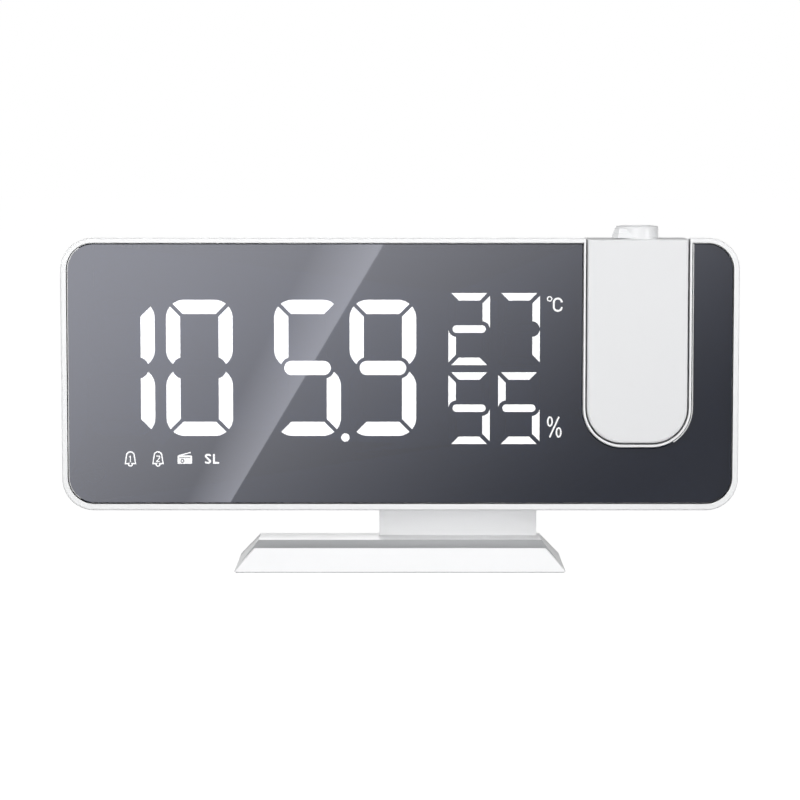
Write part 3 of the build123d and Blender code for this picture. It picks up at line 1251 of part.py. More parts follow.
with BuildPart() as projector_screen:
    with BuildSketch(Plane.XY.offset(CARRIER_TOP - LCD_DROP)):
        with Locations((ARM_X, LENS_Y)):
            Rectangle(INNER_WIDTH - 2 * RUNNING_FIT, INNER_DEPTH - 2 * RUNNING_FIT)
    extrude(amount=-LCD_THICKNESS)
write(projector_screen, "projector_screen")

with BuildPart() as lens_barrel:
    with BuildSketch(Plane.XY.offset(BARREL_FOOT)):
        with Locations((ARM_X, LENS_Y)):
            Circle(BARREL_RADIUS)
    extrude(amount=BARREL_LENGTH)
    with BuildSketch(Plane.XY.offset(ARM_TOP)):
        with Locations((ARM_X, LENS_Y)):
            Circle(BARREL_FLANGE_RADIUS)
    extrude(amount=BARREL_FLANGE)
    with BuildSketch(Plane.XY.offset(BARREL_FOOT)):
        with Locations((ARM_X, LENS_Y)):
            Circle(BARREL_BORE)
    extrude(amount=BARREL_LENGTH, mode=Mode.SUBTRACT)
    top_edges = lens_barrel.faces().sort_by(Axis.Z)[-1].edges()
    chamfer(top_edges.sort_by(SortBy.RADIUS)[-1], RING_GROOVE / 2)
write(lens_barrel, "lens_barrel")

def grip_outline(inset):
    """Adds the outline of the ring's grip, drawn in by an inset."""
    with BuildSketch(mode=Mode.PRIVATE) as outline:
        Polygon(
            (ARM_X, LENS_Y),
            (ARM_X - RING_RADIUS, LENS_Y),
            (ARM_X - GRIP_REACH, LENS_Y - GRIP_CORNER),
            (ARM_X - GRIP_SHOULDER, LENS_Y - RING_RADIUS),
            (ARM_X, LENS_Y - RING_RADIUS),
            align=None,
        )
        if inset:
            offset(amount=-inset, kind=Kind.INTERSECTION, mode=Mode.REPLACE)
    add(outline.sketch)


with BuildPart() as focus_ring:
    with BuildSketch(Plane.XY.offset(RING_FOOT)):
        with Locations((ARM_X, LENS_Y)):
            Circle(RING_RADIUS)
    extrude(amount=RING_HEIGHT)
    fillet(focus_ring.faces().sort_by(Axis.Z)[-1].edges(), EDGE_ROUND)
    with BuildSketch(Plane.XY.offset(RING_FOOT)):
        grip_outline(0)
    extrude(amount=RING_HEIGHT - EDGE_ROUND - RING_GROOVE, taper=GRIP_SLOPE)
    with BuildSketch(Plane.XY.offset(RING_FOOT)):
        with Locations((ARM_X, LENS_Y)):
            Circle(BARREL_RADIUS + RUNNING_FIT)
    extrude(amount=RING_HEIGHT, mode=Mode.SUBTRACT)
    for height in RING_GROOVE_HEIGHTS:
        with BuildSketch(Plane.XY.offset(RING_FOOT + height)):
            with Locations((ARM_X, LENS_Y)):
                Circle(2 * RING_RADIUS)
                Circle(RING_RADIUS - RING_GROOVE, mode=Mode.SUBTRACT)
            with BuildSketch(mode=Mode.PRIVATE) as core:
                grip_outline(height * tan(radians(GRIP_SLOPE)) + RING_GROOVE)
            add(core.sketch, mode=Mode.SUBTRACT)
        extrude(amount=RING_GROOVE, mode=Mode.SUBTRACT)
write(focus_ring, "focus_ring")

with BuildPart() as lens_cell:
    with BuildSketch(Plane.XY.offset(CELL_TOP - CELL_LENGTH)):
        with Locations((ARM_X, LENS_Y)):
            Circle(BARREL_BORE - RUNNING_FIT)
            Circle(CELL_BORE, mode=Mode.SUBTRACT)
    extrude(amount=CELL_LENGTH)
write(lens_cell, "lens_cell")

with BuildPart() as projection_lens:
    with BuildSketch(Plane.XZ):
        lens_profile(
            CELL_TOP - LENS_RIM - LENS_BULGE,
            CELL_BORE - PRESS_GAP,
            LENS_RIM,
            LENS_BULGE,
            LENS_BULGE,
        )
    revolve(axis=Axis.Z)
projection_lens.part = projection_lens.part.moved(Location((ARM_X, LENS_Y, 0)))
write(projection_lens, "projection_lens")

# ---- Stand ------------------------------------------------------------------
BASE_FRONT = -BASE_DEPTH / 2
CAVITY_BACK = BASE_DEPTH / 2 - SLOPE_SHIFT
CAVITY_SIDE = BASE_WIDTH / 2 - SLOPE_SHIFT

with BuildPart() as stand_base:
    with BuildSketch(Plane.XY.offset(MAT)):
        Rectangle(BASE_WIDTH, BASE_DEPTH)
    extrude(amount=BASE_HEIGHT, taper=SLOPE)
    fillet(stand_base.edges().filter_by_position(Axis.Z, MAT + BASE_ROUND, BASE_TOP), BASE_ROUND)
    with BuildSketch(Plane.YZ):
        Polygon(
            (BASE_FRONT + CREST_SETBACK, MAT + CREST_SETBACK / tan(radians(SLOPE))),
            (BASE_FRONT + GROOVE_SETBACK, MAT + GROOVE_BOTTOM),
            (BASE_FRONT + GROOVE_END_SETBACK, BASE_TOP),
            (BASE_FRONT + GROOVE_END_SETBACK, BASE_TOP + ABOVE),
            (BASE_FRONT + CREST_SETBACK, BASE_TOP + ABOVE),
            align=None,
        )
    extrude(amount=BASE_WIDTH / 2, both=True, mode=Mode.SUBTRACT)
    with BuildSketch(Plane.XY.offset(MAT)):
        frame_rectangle(-CAVITY_SIDE, CAVITY_SIDE, CAVITY_FRONT, CAVITY_BACK)
    extrude(amount=CAVITY_HEIGHT, taper=SLOPE, mode=Mode.SUBTRACT)
    with BuildSketch(Plane.XY.offset(CAVITY_TOP)):
        with Locations((NECK_X, NECK_Y)):
            Rectangle(NECK_WIDTH + 2 * NECK_GAP, NECK_THICKNESS + 2 * NECK_GAP)
    extrude(amount=BASE_WALL, mode=Mode.SUBTRACT)
    with BuildSketch(Plane.XY.offset(PLATE_TOP)):
        with Locations(*BASE_BOSSES):
            Circle(BASE_BOSS)
    extrude(amount=CAVITY_TOP - PLATE_TOP)
    with BuildSketch(Plane.XY.offset(PLATE_TOP)):
        with Locations(*BASE_BOSSES):
            Circle(SCREW_RADIUS)
    extrude(amount=CAVITY_TOP - PLATE_TOP, mode=Mode.SUBTRACT)
write(stand_base, "stand_base")

with BuildPart() as base_plate:
    with BuildSketch(Plane.XY.offset(MAT)):
        frame_rectangle(
            -CAVITY_SIDE + PLATE_GAP,
            CAVITY_SIDE - PLATE_GAP,
            CAVITY_FRONT + PLATE_GAP,
            CAVITY_BACK - PLATE_GAP,
        )
    extrude(amount=BASE_PLATE, taper=SLOPE)
    with BuildSketch(Plane.XY.offset(MAT)):
        with Locations(*BASE_SCREWS):
            Circle(SCREW_CLEAR)
    extrude(amount=BASE_PLATE, mode=Mode.SUBTRACT)
    with BuildSketch(Plane.XY.offset(MAT)):
        with Locations(*BASE_SCREWS):
            Circle(SCREW_HEAD_RADIUS)
    extrude(amount=PLATE_HEAD, mode=Mode.SUBTRACT)
write(base_plate, "base_plate")

with BuildPart() as base_screws:
    with BuildSketch(Plane.XY.offset(MAT + PRESS_GAP)):
        with Locations(*BASE_SCREWS):
            Circle(SCREW_HEAD_RADIUS - HEAD_GAP)
    extrude(amount=PLATE_HEAD - PRESS_GAP)
    with BuildSketch(Plane.XY.offset(MAT + PLATE_HEAD)):
        with Locations(*BASE_SCREWS):
            Circle(SCREW_RADIUS)
    extrude(amount=CAVITY_TOP - MAT - PLATE_HEAD - PRESS_GAP)
write(base_screws, "base_screws")

with BuildPart() as base_weight:
    with BuildSketch(Plane.XY.offset(PLATE_TOP)):
        with Locations((WEIGHT_X, WEIGHT_Y)):
            Rectangle(WEIGHT_LENGTH, WEIGHT_DEPTH)
    extrude(amount=CAVITY_TOP - PLATE_TOP - NECK_GAP)
write(base_weight, "base_weight")

with BuildPart() as foot_mat:
    with BuildSketch(Plane.XY):
        RectangleRounded(BASE_WIDTH - 2 * MAT_INSET, BASE_DEPTH - 2 * MAT_INSET, MAT_CORNER)
    extrude(amount=MAT)
write(foot_mat, "foot_mat")

NECK_BACK = NECK_Y + NECK_THICKNESS / 2
NECK_PILOT = CAVITY_TOP - PLATE_TOP + SCREW_END_GAP
with BuildPart() as stand_neck:
    with BuildSketch(Plane.XY.offset(PLATE_TOP)):
        with Locations((NECK_X, NECK_Y)):
            Rectangle(NECK_WIDTH, NECK_THICKNESS)
    extrude(amount=NECK_TOP - PLATE_TOP)
    with BuildSketch(Plane.XY.offset(PLATE_TOP)):
        with Locations((NECK_X, NECK_BACK - NECK_FOOT_DEPTH / 2)):
            Rectangle(NECK_WIDTH, NECK_FOOT_DEPTH)
    extrude(amount=CAVITY_TOP - PLATE_TOP - NECK_GAP)
    with BuildSketch(Plane.XY.offset(NECK_TOP - NECK_FLANGE)):
        with Locations((NECK_X, NECK_FLANGE_Y)):
            Rectangle(NECK_WIDTH, NECK_FLANGE_DEPTH)
    extrude(amount=NECK_FLANGE)
    with BuildSketch(Plane.XY.offset(PLATE_TOP)):
        with Locations(*[(x, NECK_Y) for x in NECK_COLUMNS]):
            Circle(SCREW_RADIUS)
    extrude(amount=NECK_PILOT, mode=Mode.SUBTRACT)
    with BuildSketch(Plane.XY.offset(NECK_TOP - NECK_FLANGE)):
        with Locations(*BODY_SCREWS):
            Circle(SCREW_CLEAR)
    extrude(amount=NECK_FLANGE, mode=Mode.SUBTRACT)
write(stand_neck, "stand_neck")

with BuildPart() as body_screws:
    with BuildSketch(Plane.XY.offset(NECK_TOP - NECK_FLANGE)):
        with Locations(*BODY_SCREWS):
            Circle(SCREW_RADIUS - PRESS_GAP)
    extrude(amount=NECK_FLANGE + PAD_TOP - PAD_BOTTOM - 1.5 * SCREW_END_GAP)
    with BuildSketch(Plane.XY.offset(NECK_TOP - NECK_FLANGE)):
        with Locations(*BODY_SCREWS):
            Circle(BODY_SCREW_HEAD_RADIUS)
    extrude(amount=-SCREW_HEAD)
write(body_screws, "body_screws")
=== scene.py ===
"""Looks of a projection alarm clock: finishes, lit display, marks, studio light and camera."""

import json
import math

import bmesh
import bpy
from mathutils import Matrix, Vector


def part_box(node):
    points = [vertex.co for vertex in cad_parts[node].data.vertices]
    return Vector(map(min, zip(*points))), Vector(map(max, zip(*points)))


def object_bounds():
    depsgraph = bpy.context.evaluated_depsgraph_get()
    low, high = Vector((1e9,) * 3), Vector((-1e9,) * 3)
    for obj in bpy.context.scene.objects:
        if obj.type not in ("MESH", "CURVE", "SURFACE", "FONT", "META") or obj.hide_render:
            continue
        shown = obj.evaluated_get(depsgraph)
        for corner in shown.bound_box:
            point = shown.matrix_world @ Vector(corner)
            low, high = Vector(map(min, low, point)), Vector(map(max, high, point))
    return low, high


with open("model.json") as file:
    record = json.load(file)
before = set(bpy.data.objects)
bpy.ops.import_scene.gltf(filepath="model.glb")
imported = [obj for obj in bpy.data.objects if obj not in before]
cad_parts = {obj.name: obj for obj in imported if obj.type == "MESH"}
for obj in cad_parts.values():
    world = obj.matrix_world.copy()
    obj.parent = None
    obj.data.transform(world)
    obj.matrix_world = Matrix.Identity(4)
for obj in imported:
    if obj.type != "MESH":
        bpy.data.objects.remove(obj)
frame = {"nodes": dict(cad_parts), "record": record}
nodes = frame["nodes"]
cad_box = [list(corner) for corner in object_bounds()]

MM = 0.001
CLOCK_LOW, CLOCK_HIGH = (Vector(corner) for corner in cad_box)
PANEL_LOW, PANEL_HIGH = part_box("mirror_panel")

# ---- Camera -----------------------------------------------------------------
CAMERA_DISTANCE = 0.807  # from the front panel
CAMERA_HEIGHT = 0.1145
AIM_HEIGHT = 0.04603  # height of the picture's middle on the front panel
SENSOR = 36.0
LENS = 132.8

camera_data = bpy.data.cameras.new("camera")
camera_data.sensor_width = SENSOR
camera_data.lens = LENS
camera = bpy.data.objects.new("camera", camera_data)
bpy.context.scene.collection.objects.link(camera)
camera.location = (0, PANEL_LOW.y - CAMERA_DISTANCE, CAMERA_HEIGHT)
aim = Vector((0, PANEL_LOW.y, AIM_HEIGHT)) - camera.location
camera.rotation_mode = "QUATERNION"
camera.rotation_quaternion = aim.to_track_quat("-Z", "Y")
bpy.context.scene.camera = camera
bpy.context.scene.view_settings.view_transform = "Standard"


# ---- Materials --------------------------------------------------------------
class Shader:
    """One node material: a Principled shader and short calls that add nodes to it."""

    def __init__(self, name, **values):
        self.material = bpy.data.materials.new(name)
        self.material.use_nodes = True
        self.tree = self.material.node_tree
        self.surface = self.tree.nodes["Principled BSDF"]
        for socket, value in values.items():
            self.surface.inputs[socket.replace("_", " ")].default_value = value

    def node(self, kind, settings=(), **inputs):
        """Adds a node, sets its own settings, and fills or links its inputs by name."""
        made = self.tree.nodes.new(kind)
        for key, value in dict(settings).items():
            setattr(made, key, value)
        for key, value in inputs.items():
            self.put(made.inputs[key.replace("_", " ")], value)
        return made

    def put(self, socket, value):
        """Links a value that is an output, and sets any other one."""
        if isinstance(value, bpy.types.NodeSocket):
            self.tree.links.new(value, socket)
        else:
            socket.default_value = value

    def place(self):
        """Coordinates in metres, fixed to the clock."""
        return self.node("ShaderNodeTexCoord").outputs["Object"]

    def noise(self, size, detail=2.0, stretch=None):
        """Noise whose blobs are about size metres wide, from 0 to 1."""
        where = self.place()
        if stretch:
            where = self.node("ShaderNodeMapping", Vector=where, Scale=stretch).outputs[0]
        return self.node(
            "ShaderNodeTexNoise", Vector=where, Scale=1 / size, Detail=detail
        ).outputs["Fac"]

    def between(self, fac, low, high):
        """A number that runs from low to high as fac runs from 0 to 1."""
        made = self.node("ShaderNodeMapRange", Value=fac)
        made.inputs["To Min"].default_value = low
        made.inputs["To Max"].default_value = high
        return made.outputs["Result"]

    def shade(self, fac, first, second):
        """A colour that runs from first to second as fac runs from 0 to 1."""
        made = self.node("ShaderNodeMix", {"data_type": "RGBA"})
        self.put(made.inputs["Factor"], fac)
        self.put(made.inputs["A"], (*first, 1))
        self.put(made.inputs["B"], (*second, 1))
        return made.outputs["Result"]

    def colour(self, value):
        self.put(self.surface.inputs["Base Color"], value)

    def rough(self, value):
        self.put(self.surface.inputs["Roughness"], value)

    def bump(self, height, depth, strength=1.0):
        """Bump from a height of 0 to 1 that stands for depth metres."""
        made = self.node("ShaderNodeBump", Strength=strength, Distance=depth, Height=height)
        self.put(self.surface.inputs["Normal"], made.outputs["Normal"])


def scaled(colour, factor):
    return tuple(channel * factor for channel in colour)


def moulded(name, colour, roughness, grain, depth, mottle=0.008, **values):
    """Moulded plastic: a faint cloudiness, an uneven gloss and a fine skin."""
    made = Shader(name, **values)
    cloud = made.noise(30 * MM, 2.0)
    made.colour(made.shade(cloud, scaled(colour, 1 - mottle), scaled(colour, 1 + mottle)))
    gloss = made.noise(8 * MM, 2.0)
    made.rough(made.between(gloss, roughness * 0.93, roughness * 1.07))
    made.bump(made.noise(grain, 3.0), depth)
    return made.material


# Colours, linear
CASE = (0.82, 0.825, 0.83)
ARM = (0.725, 0.73, 0.74)
STAND = (0.94, 0.943, 0.947)
# Painted shade: the neck is the stand's own white, made darker for the shade of the body above it
NECK_PAINTED_SHADE = (0.87, 0.873, 0.88)
BARREL = (0.82, 0.825, 0.835)
KEY = (0.78, 0.785, 0.795)
GROOVE_PAINTED_SHADE = (0.48, 0.485, 0.495)  # painted shade: the stand's white darkened on the slope behind its front lip
# Painted shade: near black on the walls of the panel's recess, for the dark gap round the panel
RECESS_PAINTED_SHADE = (0.030, 0.030, 0.033)
CHAMFER_PAINTED_HIGHLIGHT = (0.94, 0.945, 0.95)  # painted highlight: pale colour on the panel's chamfer where it looks left
BLACK = (0.012, 0.012, 0.014)
FIBRE = (0.19, 0.09, 0.045)
PRINT_DARK, PRINT_LIGHT = (0.022, 0.036, 0.076), (0.026, 0.041, 0.084)
PIPE_DARK, PIPE_LIGHT = (0.30, 0.30, 0.31), (0.36, 0.36, 0.37)
MAT_DARK, MAT_LIGHT = (0.56, 0.56, 0.57), (0.64, 0.64, 0.65)
BOARD_DARK, BOARD_LIGHT = (0.012, 0.075, 0.030), (0.03, 0.16, 0.07)
STEEL_DARK, STEEL_LIGHT = (0.52, 0.53, 0.55), (0.66, 0.67, 0.69)
RUBBER_DARK, RUBBER_LIGHT = (0.012, 0.012, 0.012), (0.035, 0.035, 0.037)
PHOSPHOR_DARK, PHOSPHOR_LIGHT = (0.85, 0.72, 0.28), (0.9, 0.82, 0.4)
MIRROR_TINT = (0.455, 0.462, 0.515, 1)
LIT_WHITE = (0.9, 0.9, 0.9, 1)
SCREEN_TINT = (0.03, 0.035, 0.045, 1)
LENS_TINT, LENS_SHEEN = (0.93, 0.95, 1.0, 1), (0.55, 0.45, 1.0, 1)
WHITE = (1, 1, 1, 1)

MIRROR_SHARE = 0.62  # of what the eye sees, from the mirror film and not from behind it
DIGIT_GLOW, SYMBOL_GLOW = 2.45, 2.1
TRACKS_PER_METRE = 260.0

# name, colour, roughness, size of the grain, its depth
case_white = moulded("case_white", CASE, 0.30, 0.5 * MM, 0.004 * MM, Coat_Weight=0.25)
arm_white = moulded("arm_white", ARM, 0.36, 0.35 * MM, 0.005 * MM)
stand_white = moulded("stand_white", STAND, 0.48, 0.6 * MM, 0.004 * MM, mottle=0.002)
neck_painted_shade = moulded("neck_painted_shade", NECK_PAINTED_SHADE, 0.48, 0.6 * MM, 0.004 * MM, mottle=0.002)
barrel_white = moulded("barrel_white", BARREL, 0.30, 0.4 * MM, 0.003 * MM)
key_white = moulded("key_white", KEY, 0.45, 0.25 * MM, 0.010 * MM)
black_plastic = moulded("black_plastic", BLACK, 0.55, 0.2 * MM, 0.012 * MM, mottle=0.15)
fibre = moulded("fibre", FIBRE, 0.8, 0.15 * MM, 0.02 * MM, mottle=0.2)
recess_painted_shade = moulded("recess_painted_shade", RECESS_PAINTED_SHADE, 0.7, 0.2 * MM, 0.01 * MM, mottle=0.1)
groove_painted_shade = moulded("groove_painted_shade", GROOVE_PAINTED_SHADE, 0.4, 0.3 * MM, 0.008 * MM)
chamfer_painted_highlight = moulded("chamfer_painted_highlight", CHAMFER_PAINTED_HIGHLIGHT, 0.2, 0.2 * MM, 0.002 * MM)
clear_back = Shader("clear_back", Alpha=0.0).material


def half_mirror():
    """Tinted acrylic with a thin metal film: a dim mirror that lit bars shine through."""
    made = Shader("mirror_tint", Metallic=1.0, Alpha=MIRROR_SHARE)
    made.colour(MIRROR_TINT)
    made.rough(0.012)
    return made.material


def lit_bar(name, glow):
    """The front face of a light pipe that is on."""
    made = Shader(name, Emission_Strength=glow)
    made.surface.inputs["Emission Color"].default_value = WHITE
    made.colour(LIT_WHITE)
    made.rough(0.5)
    return made.material


def pipe_side():
    """The side walls of a light pipe, hidden in the black light box."""
    made = Shader("pipe_side")
    made.colour(made.shade(made.noise(1.0 * MM), PIPE_DARK, PIPE_LIGHT))
    made.rough(0.4)
    return made.material


def dark_ink(name):
    """Dull black, slightly blue: the ink behind the panel, and a bar that is off."""
    made = Shader(name, Specular_IOR_Level=0.0)
    made.colour(made.shade(made.noise(0.3 * MM), PRINT_DARK, PRINT_LIGHT))
    made.rough(0.6)
    return made.material


def anti_slip_mat():
    """Grey mat with a fine weave."""
    made = Shader("mat_grey")
    weave = made.noise(0.4 * MM, 3.0)
    made.colour(made.shade(weave, MAT_DARK, MAT_LIGHT))
    made.rough(0.8)
    made.bump(weave, 0.05 * MM)
    return made.material


def circuit_board():
    """Green solder mask with faint paler tracks under it."""
    made = Shader("circuit_board")
    where = made.place()
    turned = made.node("ShaderNodeMapping", Vector=where)
    turned.inputs["Rotation"].default_value = (0, math.radians(45), 0)
    tracks = made.node(
        "ShaderNodeTexBrick", Vector=turned.outputs[0], Scale=TRACKS_PER_METRE, Mortar_Size=0.03
    )
    lines = made.between(tracks.outputs["Fac"], 0.0, 1.0)
    made.colour(made.shade(lines, BOARD_DARK, BOARD_LIGHT))
    made.rough(0.32)
    made.bump(lines, 0.02 * MM)
    return made.material


def steel():
    """Zinc plated steel with fine turning marks."""
    made = Shader("steel", Metallic=1.0)
    streak = made.noise(0.35 * MM, 4.0, stretch=(1, 6, 1))
    made.colour(made.shade(streak, STEEL_DARK, STEEL_LIGHT))
    made.rough(made.between(streak, 0.22, 0.38))
    made.bump(streak, 0.006 * MM)
    return made.material


def rubber():
    """Matt black foam rubber with small open pores."""
    made = Shader("black_rubber")
    pores = made.node("ShaderNodeTexVoronoi", Vector=made.place(), Scale=1 / (0.5 * MM))
    depth = made.between(pores.outputs["Distance"], 0.0, 1.0)
    made.colour(made.shade(depth, RUBBER_DARK, RUBBER_LIGHT))
    made.rough(0.85)
    made.bump(depth, 0.06 * MM)
    return made.material


def led_lens():
    """Clear dome over a yellow phosphor."""
    made = Shader("led_lens", Transmission_Weight=0.3, IOR=1.5)
    made.colour(made.shade(made.noise(0.6 * MM), PHOSPHOR_DARK, PHOSPHOR_LIGHT))
    made.rough(0.15)
    return made.material


def screen_glass():
    """The dark liquid crystal cell of the projector."""
    made = Shader("screen_glass", Alpha=0.9, Specular_IOR_Level=0.5)
    made.colour(SCREEN_TINT)
    made.rough(0.08)
    return made.material


def clear_lens():
    """Coated glass with a faint violet sheen in its reflections."""
    made = Shader("clear_lens", Transmission_Weight=1.0, IOR=1.52, Coat_Weight=1.0)
    made.colour(LENS_TINT)
    made.surface.inputs["Coat Tint"].default_value = LENS_SHEEN
    made.rough(0.01)
    return made.material


FINISHES = {
    "case_white": case_white,
    "arm_white": arm_white,
    "stand_white": stand_white,
    "barrel_white": barrel_white,
    "key_white": key_white,
    "black_plastic": black_plastic,
    "mirror_tint": half_mirror(),
    "lit_bar": lit_bar("lit_bar", DIGIT_GLOW),
    "unlit_bar": dark_ink("unlit_bar"),
    "black_print": dark_ink("black_print"),
    "mat_grey": anti_slip_mat(),
    "circuit_board": circuit_board(),
    "steel": steel(),
    "black_rubber": rubber(),
    "fibre": fibre,
    "led_lens": led_lens(),
    "screen_glass": screen_glass(),
    "clear_lens": clear_lens(),
}
for subpart in frame["record"]["subparts"]:
    shown = nodes[subpart["node"]]
    shown.data.materials.clear()
    shown.data.materials.append(FINISHES[subpart["material_slot"]])


def paint(node, material, chosen):
    """Gives another material to the faces of a node that chosen picks."""
    mesh = nodes[node].data
    mesh.materials.append(material)
    for face in mesh.polygons:
        if chosen(face):
            face.material_index = len(mesh.materials) - 1


RECESS_BACK = PANEL_HIGH.y + 0.15 * MM
RECESS_FRONT = PANEL_LOW.y - 0.2 * MM
RECESS_ROOM = 0.5 * MM  # how far the recess walls may stand outside the panel
CORNER_FROM = PANEL_HIGH.x - 10 * MM  # where the rounded corners of the case begin
SQUARE_ON = 0.9  # a normal's share along an axis, for a face square to it


def in_recess(face):
    """Whether a face of the front frame is a wall of the recess that holds the panel."""
    spot, facing = face.center, face.normal
    near_panel = (
        RECESS_FRONT < spot.y < RECESS_BACK
        and PANEL_LOW.x - RECESS_ROOM < spot.x < PANEL_HIGH.x + RECESS_ROOM
        and PANEL_LOW.z - RECESS_ROOM < spot.z < PANEL_HIGH.z + RECESS_ROOM
    )
    outer_corner = abs(spot.x) > CORNER_FROM and spot.x * facing.x > 0
    return near_panel and abs(facing.y) < 0.5 and not outer_corner


def behind_lip(face):
    """Whether a face of the stand's base is the slope between its lip and its crest."""
    return -0.6 < face.normal.y < -0.3 and face.normal.z > 0.8


def faces_back(face):
    return face.normal.y > SQUARE_ON


def chamfer_to_left(face):
    """Whether a face of the panel is on the part of its chamfer that looks left."""
    return face.normal.x < -0.4 and face.normal.y < -0.4


def not_in_front(face):
    return face.normal.y > -SQUARE_ON


def every(face):
    return True


# Painted shade: the walls of the panel's recess are made near black
paint("front_frame", recess_painted_shade, in_recess)
# Painted shade: the neck gets a darker copy of the stand's white
paint("stand_neck", neck_painted_shade, every)
# Painted shade on the slope behind the stand's lip, where the lip and the body shade it
paint("stand_base", groove_painted_shade, behind_lip)
paint("mirror_panel", clear_back, faces_back)
# Painted highlight: the part of the panel's chamfer that looks left is made pale
paint("mirror_panel", chamfer_painted_highlight, chamfer_to_left)
dim_bar = lit_bar("dim_bar", SYMBOL_GLOW)
for node in ("alarm_symbols", "function_symbols", "unit_symbols"):
    paint(node, dim_bar, every)
hidden_pipe = pipe_side()
for subpart in frame["record"]["subparts"]:
    if subpart["material_slot"] == "lit_bar":
        paint(subpart["node"], hidden_pipe, not_in_front)


# ---- Studio -----------------------------------------------------------------
def maths(shader, operation, first, second):
    """A Math node's result from two numbers or outputs."""
    out = shader.node("ShaderNodeMath", {"operation": operation})
    shader.put(out.inputs[0], first)
    shader.put(out.inputs[1], second)
    return out.outputs[0]


def ranged(shader, value, start, end, low, high, interpolation="LINEAR"):
    """Maps a value from start..end to low..high, held at both ends."""
    made = shader.node("ShaderNodeMapRange", {"interpolation_type": interpolation}, Value=value)
    for socket, number in (("From Min", start), ("From Max", end), ("To Min", low), ("To Max", high)):
        made.inputs[socket].default_value = number
    return made.outputs["Result"]


def choose(shader, pick, other, value):
    """value where pick is 1, and other where it is 0."""
    made = shader.node("ShaderNodeMix", {"data_type": "FLOAT"})
    shader.put(made.inputs["Factor"], pick)
    shader.put(made.inputs["A"], other)
    shader.put(made.inputs["B"], value)
    return made.outputs["Result"]


FLOOR_SIDE = 12.0
GLOW_BRIGHT, GLOW_DIM = 1.0, 0.110  # of the floor, as the panel mirrors it
GLOW_FROM, GLOW_TO = -0.2274, 0.0419  # along the panel's x less GLOW_LEAN times its height
GLOW_LEAN = 1.31
EDGE_TOP = Vector((-0.0043, 0.0890))  # slanted edge of the glare on the panel, across and up
EDGE_BOTTOM = Vector((-0.0467, 0.0177))
GLARE = 0.56  # its strength at the edge
GLARE_TOP, GLARE_BOTTOM = 0.0190, 0.0125  # its width left of the edge
EDGE_BLUR = 0.00015
FLOOR_BOUNCE = 0.6
FLOOR_SHADOW = 0.14
FLOOR_WHITE = 1.15  # makes up for the share that FLOOR_SHADOW takes


def floor_material():
    """White floor. In the panel it shows as a glow that fades to the right, with a glare."""
    made = Shader("floor_white")
    tree, links = made.tree, made.tree.links
    spot = made.node("ShaderNodeSeparateXYZ", Vector=made.place()).outputs

    # Where the camera sees a spot of the floor in the panel, across and up
    run = maths(made, "SUBTRACT", PANEL_LOW.y, spot["Y"])
    reach = maths(made, "ADD", run, CAMERA_DISTANCE)
    up = maths(made, "MULTIPLY", maths(made, "DIVIDE", run, reach), CAMERA_HEIGHT)
    across = maths(made, "DIVIDE", maths(made, "MULTIPLY", spot["X"], CAMERA_DISTANCE), reach)
    along = maths(made, "SUBTRACT", across, maths(made, "MULTIPLY", up, GLOW_LEAN))
    glow = ranged(made, along, GLOW_FROM, GLOW_TO, GLOW_BRIGHT, GLOW_DIM, "SMOOTHSTEP")

    lean = (EDGE_TOP.x - EDGE_BOTTOM.x) / (EDGE_TOP.y - EDGE_BOTTOM.y)
    edge = maths(made, "ADD", maths(made, "MULTIPLY", up, lean), EDGE_TOP.x - lean * EDGE_TOP.y)
    inside = maths(made, "SUBTRACT", edge, across)
    width = ranged(made, up, EDGE_BOTTOM.y, EDGE_TOP.y, GLARE_BOTTOM, GLARE_TOP)
    ramp = ranged(made, maths(made, "DIVIDE", inside, width), 0.0, 1.0, GLARE, 0.0)
    step = ranged(made, inside, -EDGE_BLUR, EDGE_BLUR, 0.0, 1.0)
    glow = maths(made, "ADD", glow, maths(made, "MULTIPLY", ramp, step))

    path = made.node("ShaderNodeLightPath").outputs
    seen = maths(made, "MAXIMUM", path["Is Camera Ray"], path["Is Transmission Ray"])
    white = made.node("ShaderNodeEmission", Strength=FLOOR_WHITE)
    glare = made.node("ShaderNodeEmission", Strength=glow)
    matt = made.node("ShaderNodeBsdfDiffuse")
    matt.inputs["Color"].default_value = (FLOOR_BOUNCE, FLOOR_BOUNCE, FLOOR_BOUNCE, 1)
    shadow = made.node("ShaderNodeBsdfDiffuse")
    shadow.inputs["Color"].default_value = WHITE
    veil = made.node("ShaderNodeMixShader", Fac=FLOOR_SHADOW)
    links.new(white.outputs[0], veil.inputs[1])
    links.new(shadow.outputs[0], veil.inputs[2])
    first = made.node("ShaderNodeMixShader", Fac=seen)
    links.new(matt.outputs[0], first.inputs[1])
    links.new(veil.outputs[0], first.inputs[2])
    second = made.node("ShaderNodeMixShader", Fac=path["Is Glossy Ray"])
    links.new(first.outputs[0], second.inputs[1])
    links.new(glare.outputs[0], second.inputs[2])
    links.new(second.outputs[0], tree.nodes["Material Output"].inputs["Surface"])
    return made.material


floor_mesh = bpy.data.meshes.new("floor")
half_side = FLOOR_SIDE / 2
floor_mesh.from_pydata(
    [(a * half_side, b * half_side, 0) for a, b in ((-1, -1), (1, -1), (1, 1), (-1, 1))],
    [],
    [(0, 1, 2, 3)],
)
floor = bpy.data.objects.new("floor", floor_mesh)
bpy.context.scene.collection.objects.link(floor)
floor_mesh.materials.append(floor_material())

FRONT_FILL, BACK_FILL = 0.45, 0.25  # light of the world on the clock, from the front and back
ZENITH_SHARE = 0.12  # of that light, from above
ZENITH_FROM = 0.7  # upward part of the direction from which that share holds
GLOSS_LEFT, GLOSS_RIGHT = 2.6, 0.1  # the world as glossy surfaces mirror it
GLOSS_BACK = 0.65  # share of that straight behind the clock


class WorldShader(Shader):
    """The same short calls on the world's nodes."""

    def __init__(self, name):
        world = bpy.data.worlds.new(name)
        world.use_nodes = True
        bpy.context.scene.world = world
        self.tree = world.node_tree
        self.surface = self.tree.nodes["Background"]


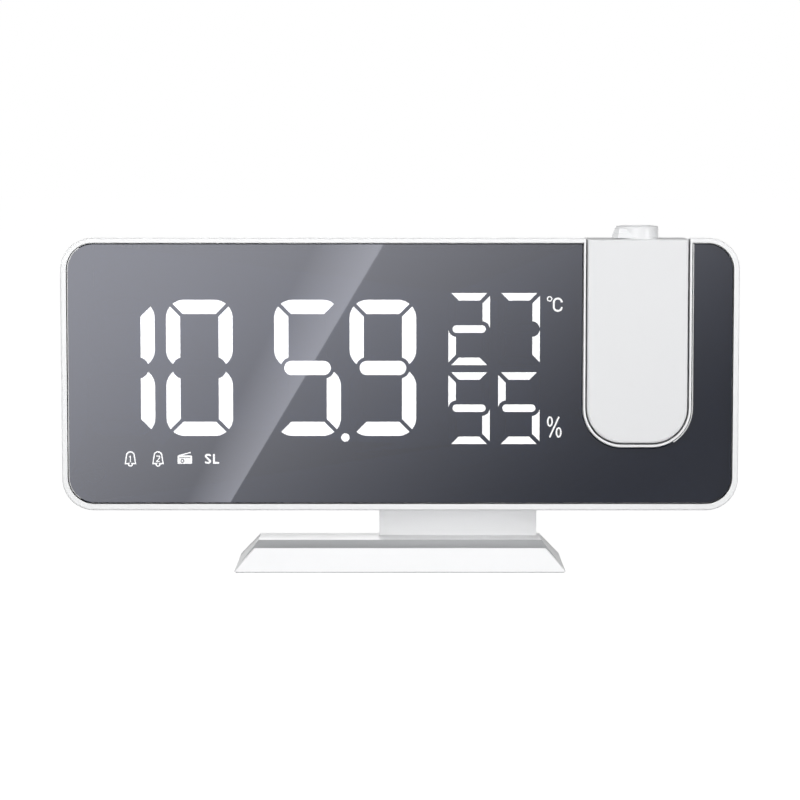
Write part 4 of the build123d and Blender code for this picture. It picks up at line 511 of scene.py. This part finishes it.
studio = WorldShader("studio")
toward = studio.node(
    "ShaderNodeSeparateXYZ", Vector=studio.node("ShaderNodeTexCoord").outputs["Generated"]
).outputs
fill = ranged(studio, toward["Y"], -1.0, 1.0, FRONT_FILL, BACK_FILL)
fill = maths(studio, "MULTIPLY", fill, ranged(studio, toward["Z"], 0.0, ZENITH_FROM, 1.0, ZENITH_SHARE))
left_gloss = ranged(studio, toward["X"], -1.0, 0.0, GLOSS_LEFT - 1.0, 0.0)
right_gloss = ranged(studio, toward["X"], 0.0, 1.0, 0.0, 1.0 - GLOSS_RIGHT)
gloss = maths(studio, "SUBTRACT", maths(studio, "ADD", left_gloss, 1.0), right_gloss)
gloss = maths(studio, "MULTIPLY", gloss, ranged(studio, toward["Y"], 0.0, 1.0, 1.0, GLOSS_BACK))
path = studio.node("ShaderNodeLightPath").outputs
shown_white = maths(studio, "MAXIMUM", path["Is Camera Ray"], path["Is Transmission Ray"])
strength = choose(studio, path["Is Glossy Ray"], fill, gloss)
strength = choose(studio, shown_white, strength, 1.0)
studio.put(studio.surface.inputs["Color"], WHITE)
studio.put(studio.surface.inputs["Strength"], strength)


def softbox(name, place, target, width, height, power):
    """A soft rectangular lamp that points at a target."""
    lamp = bpy.data.lights.new(name, "AREA")
    lamp.shape = "RECTANGLE"
    lamp.size, lamp.size_y = width, height
    lamp.energy = power
    made = bpy.data.objects.new(name, lamp)
    bpy.context.scene.collection.objects.link(made)
    made.location = place
    made.rotation_mode = "QUATERNION"
    made.rotation_quaternion = (Vector(target) - made.location).to_track_quat("-Z", "Y")


MIDDLE = (CLOCK_LOW + CLOCK_HIGH) / 2
STAND_SPOT = (0, 0, 0.01)
LAMPS = (  # name, place, target, width, height, watts
    ("front_light", (-0.62, -3.5, 0.17), MIDDLE, 2.4, 0.3, 37.5),  # further off than the panel mirrors
    ("high_front_light", (-0.30, -0.92, 0.80), MIDDLE, 0.6, 0.4, 6.6),
    ("right_light", (1.20, -0.80, 0.25), MIDDLE, 0.4, 0.4, 7.0),
    ("low_back_light", (-0.06, 0.70, 0.14), STAND_SPOT, 0.22, 0.10, 0.65),
)
for lamp in LAMPS:
    softbox(*lamp)
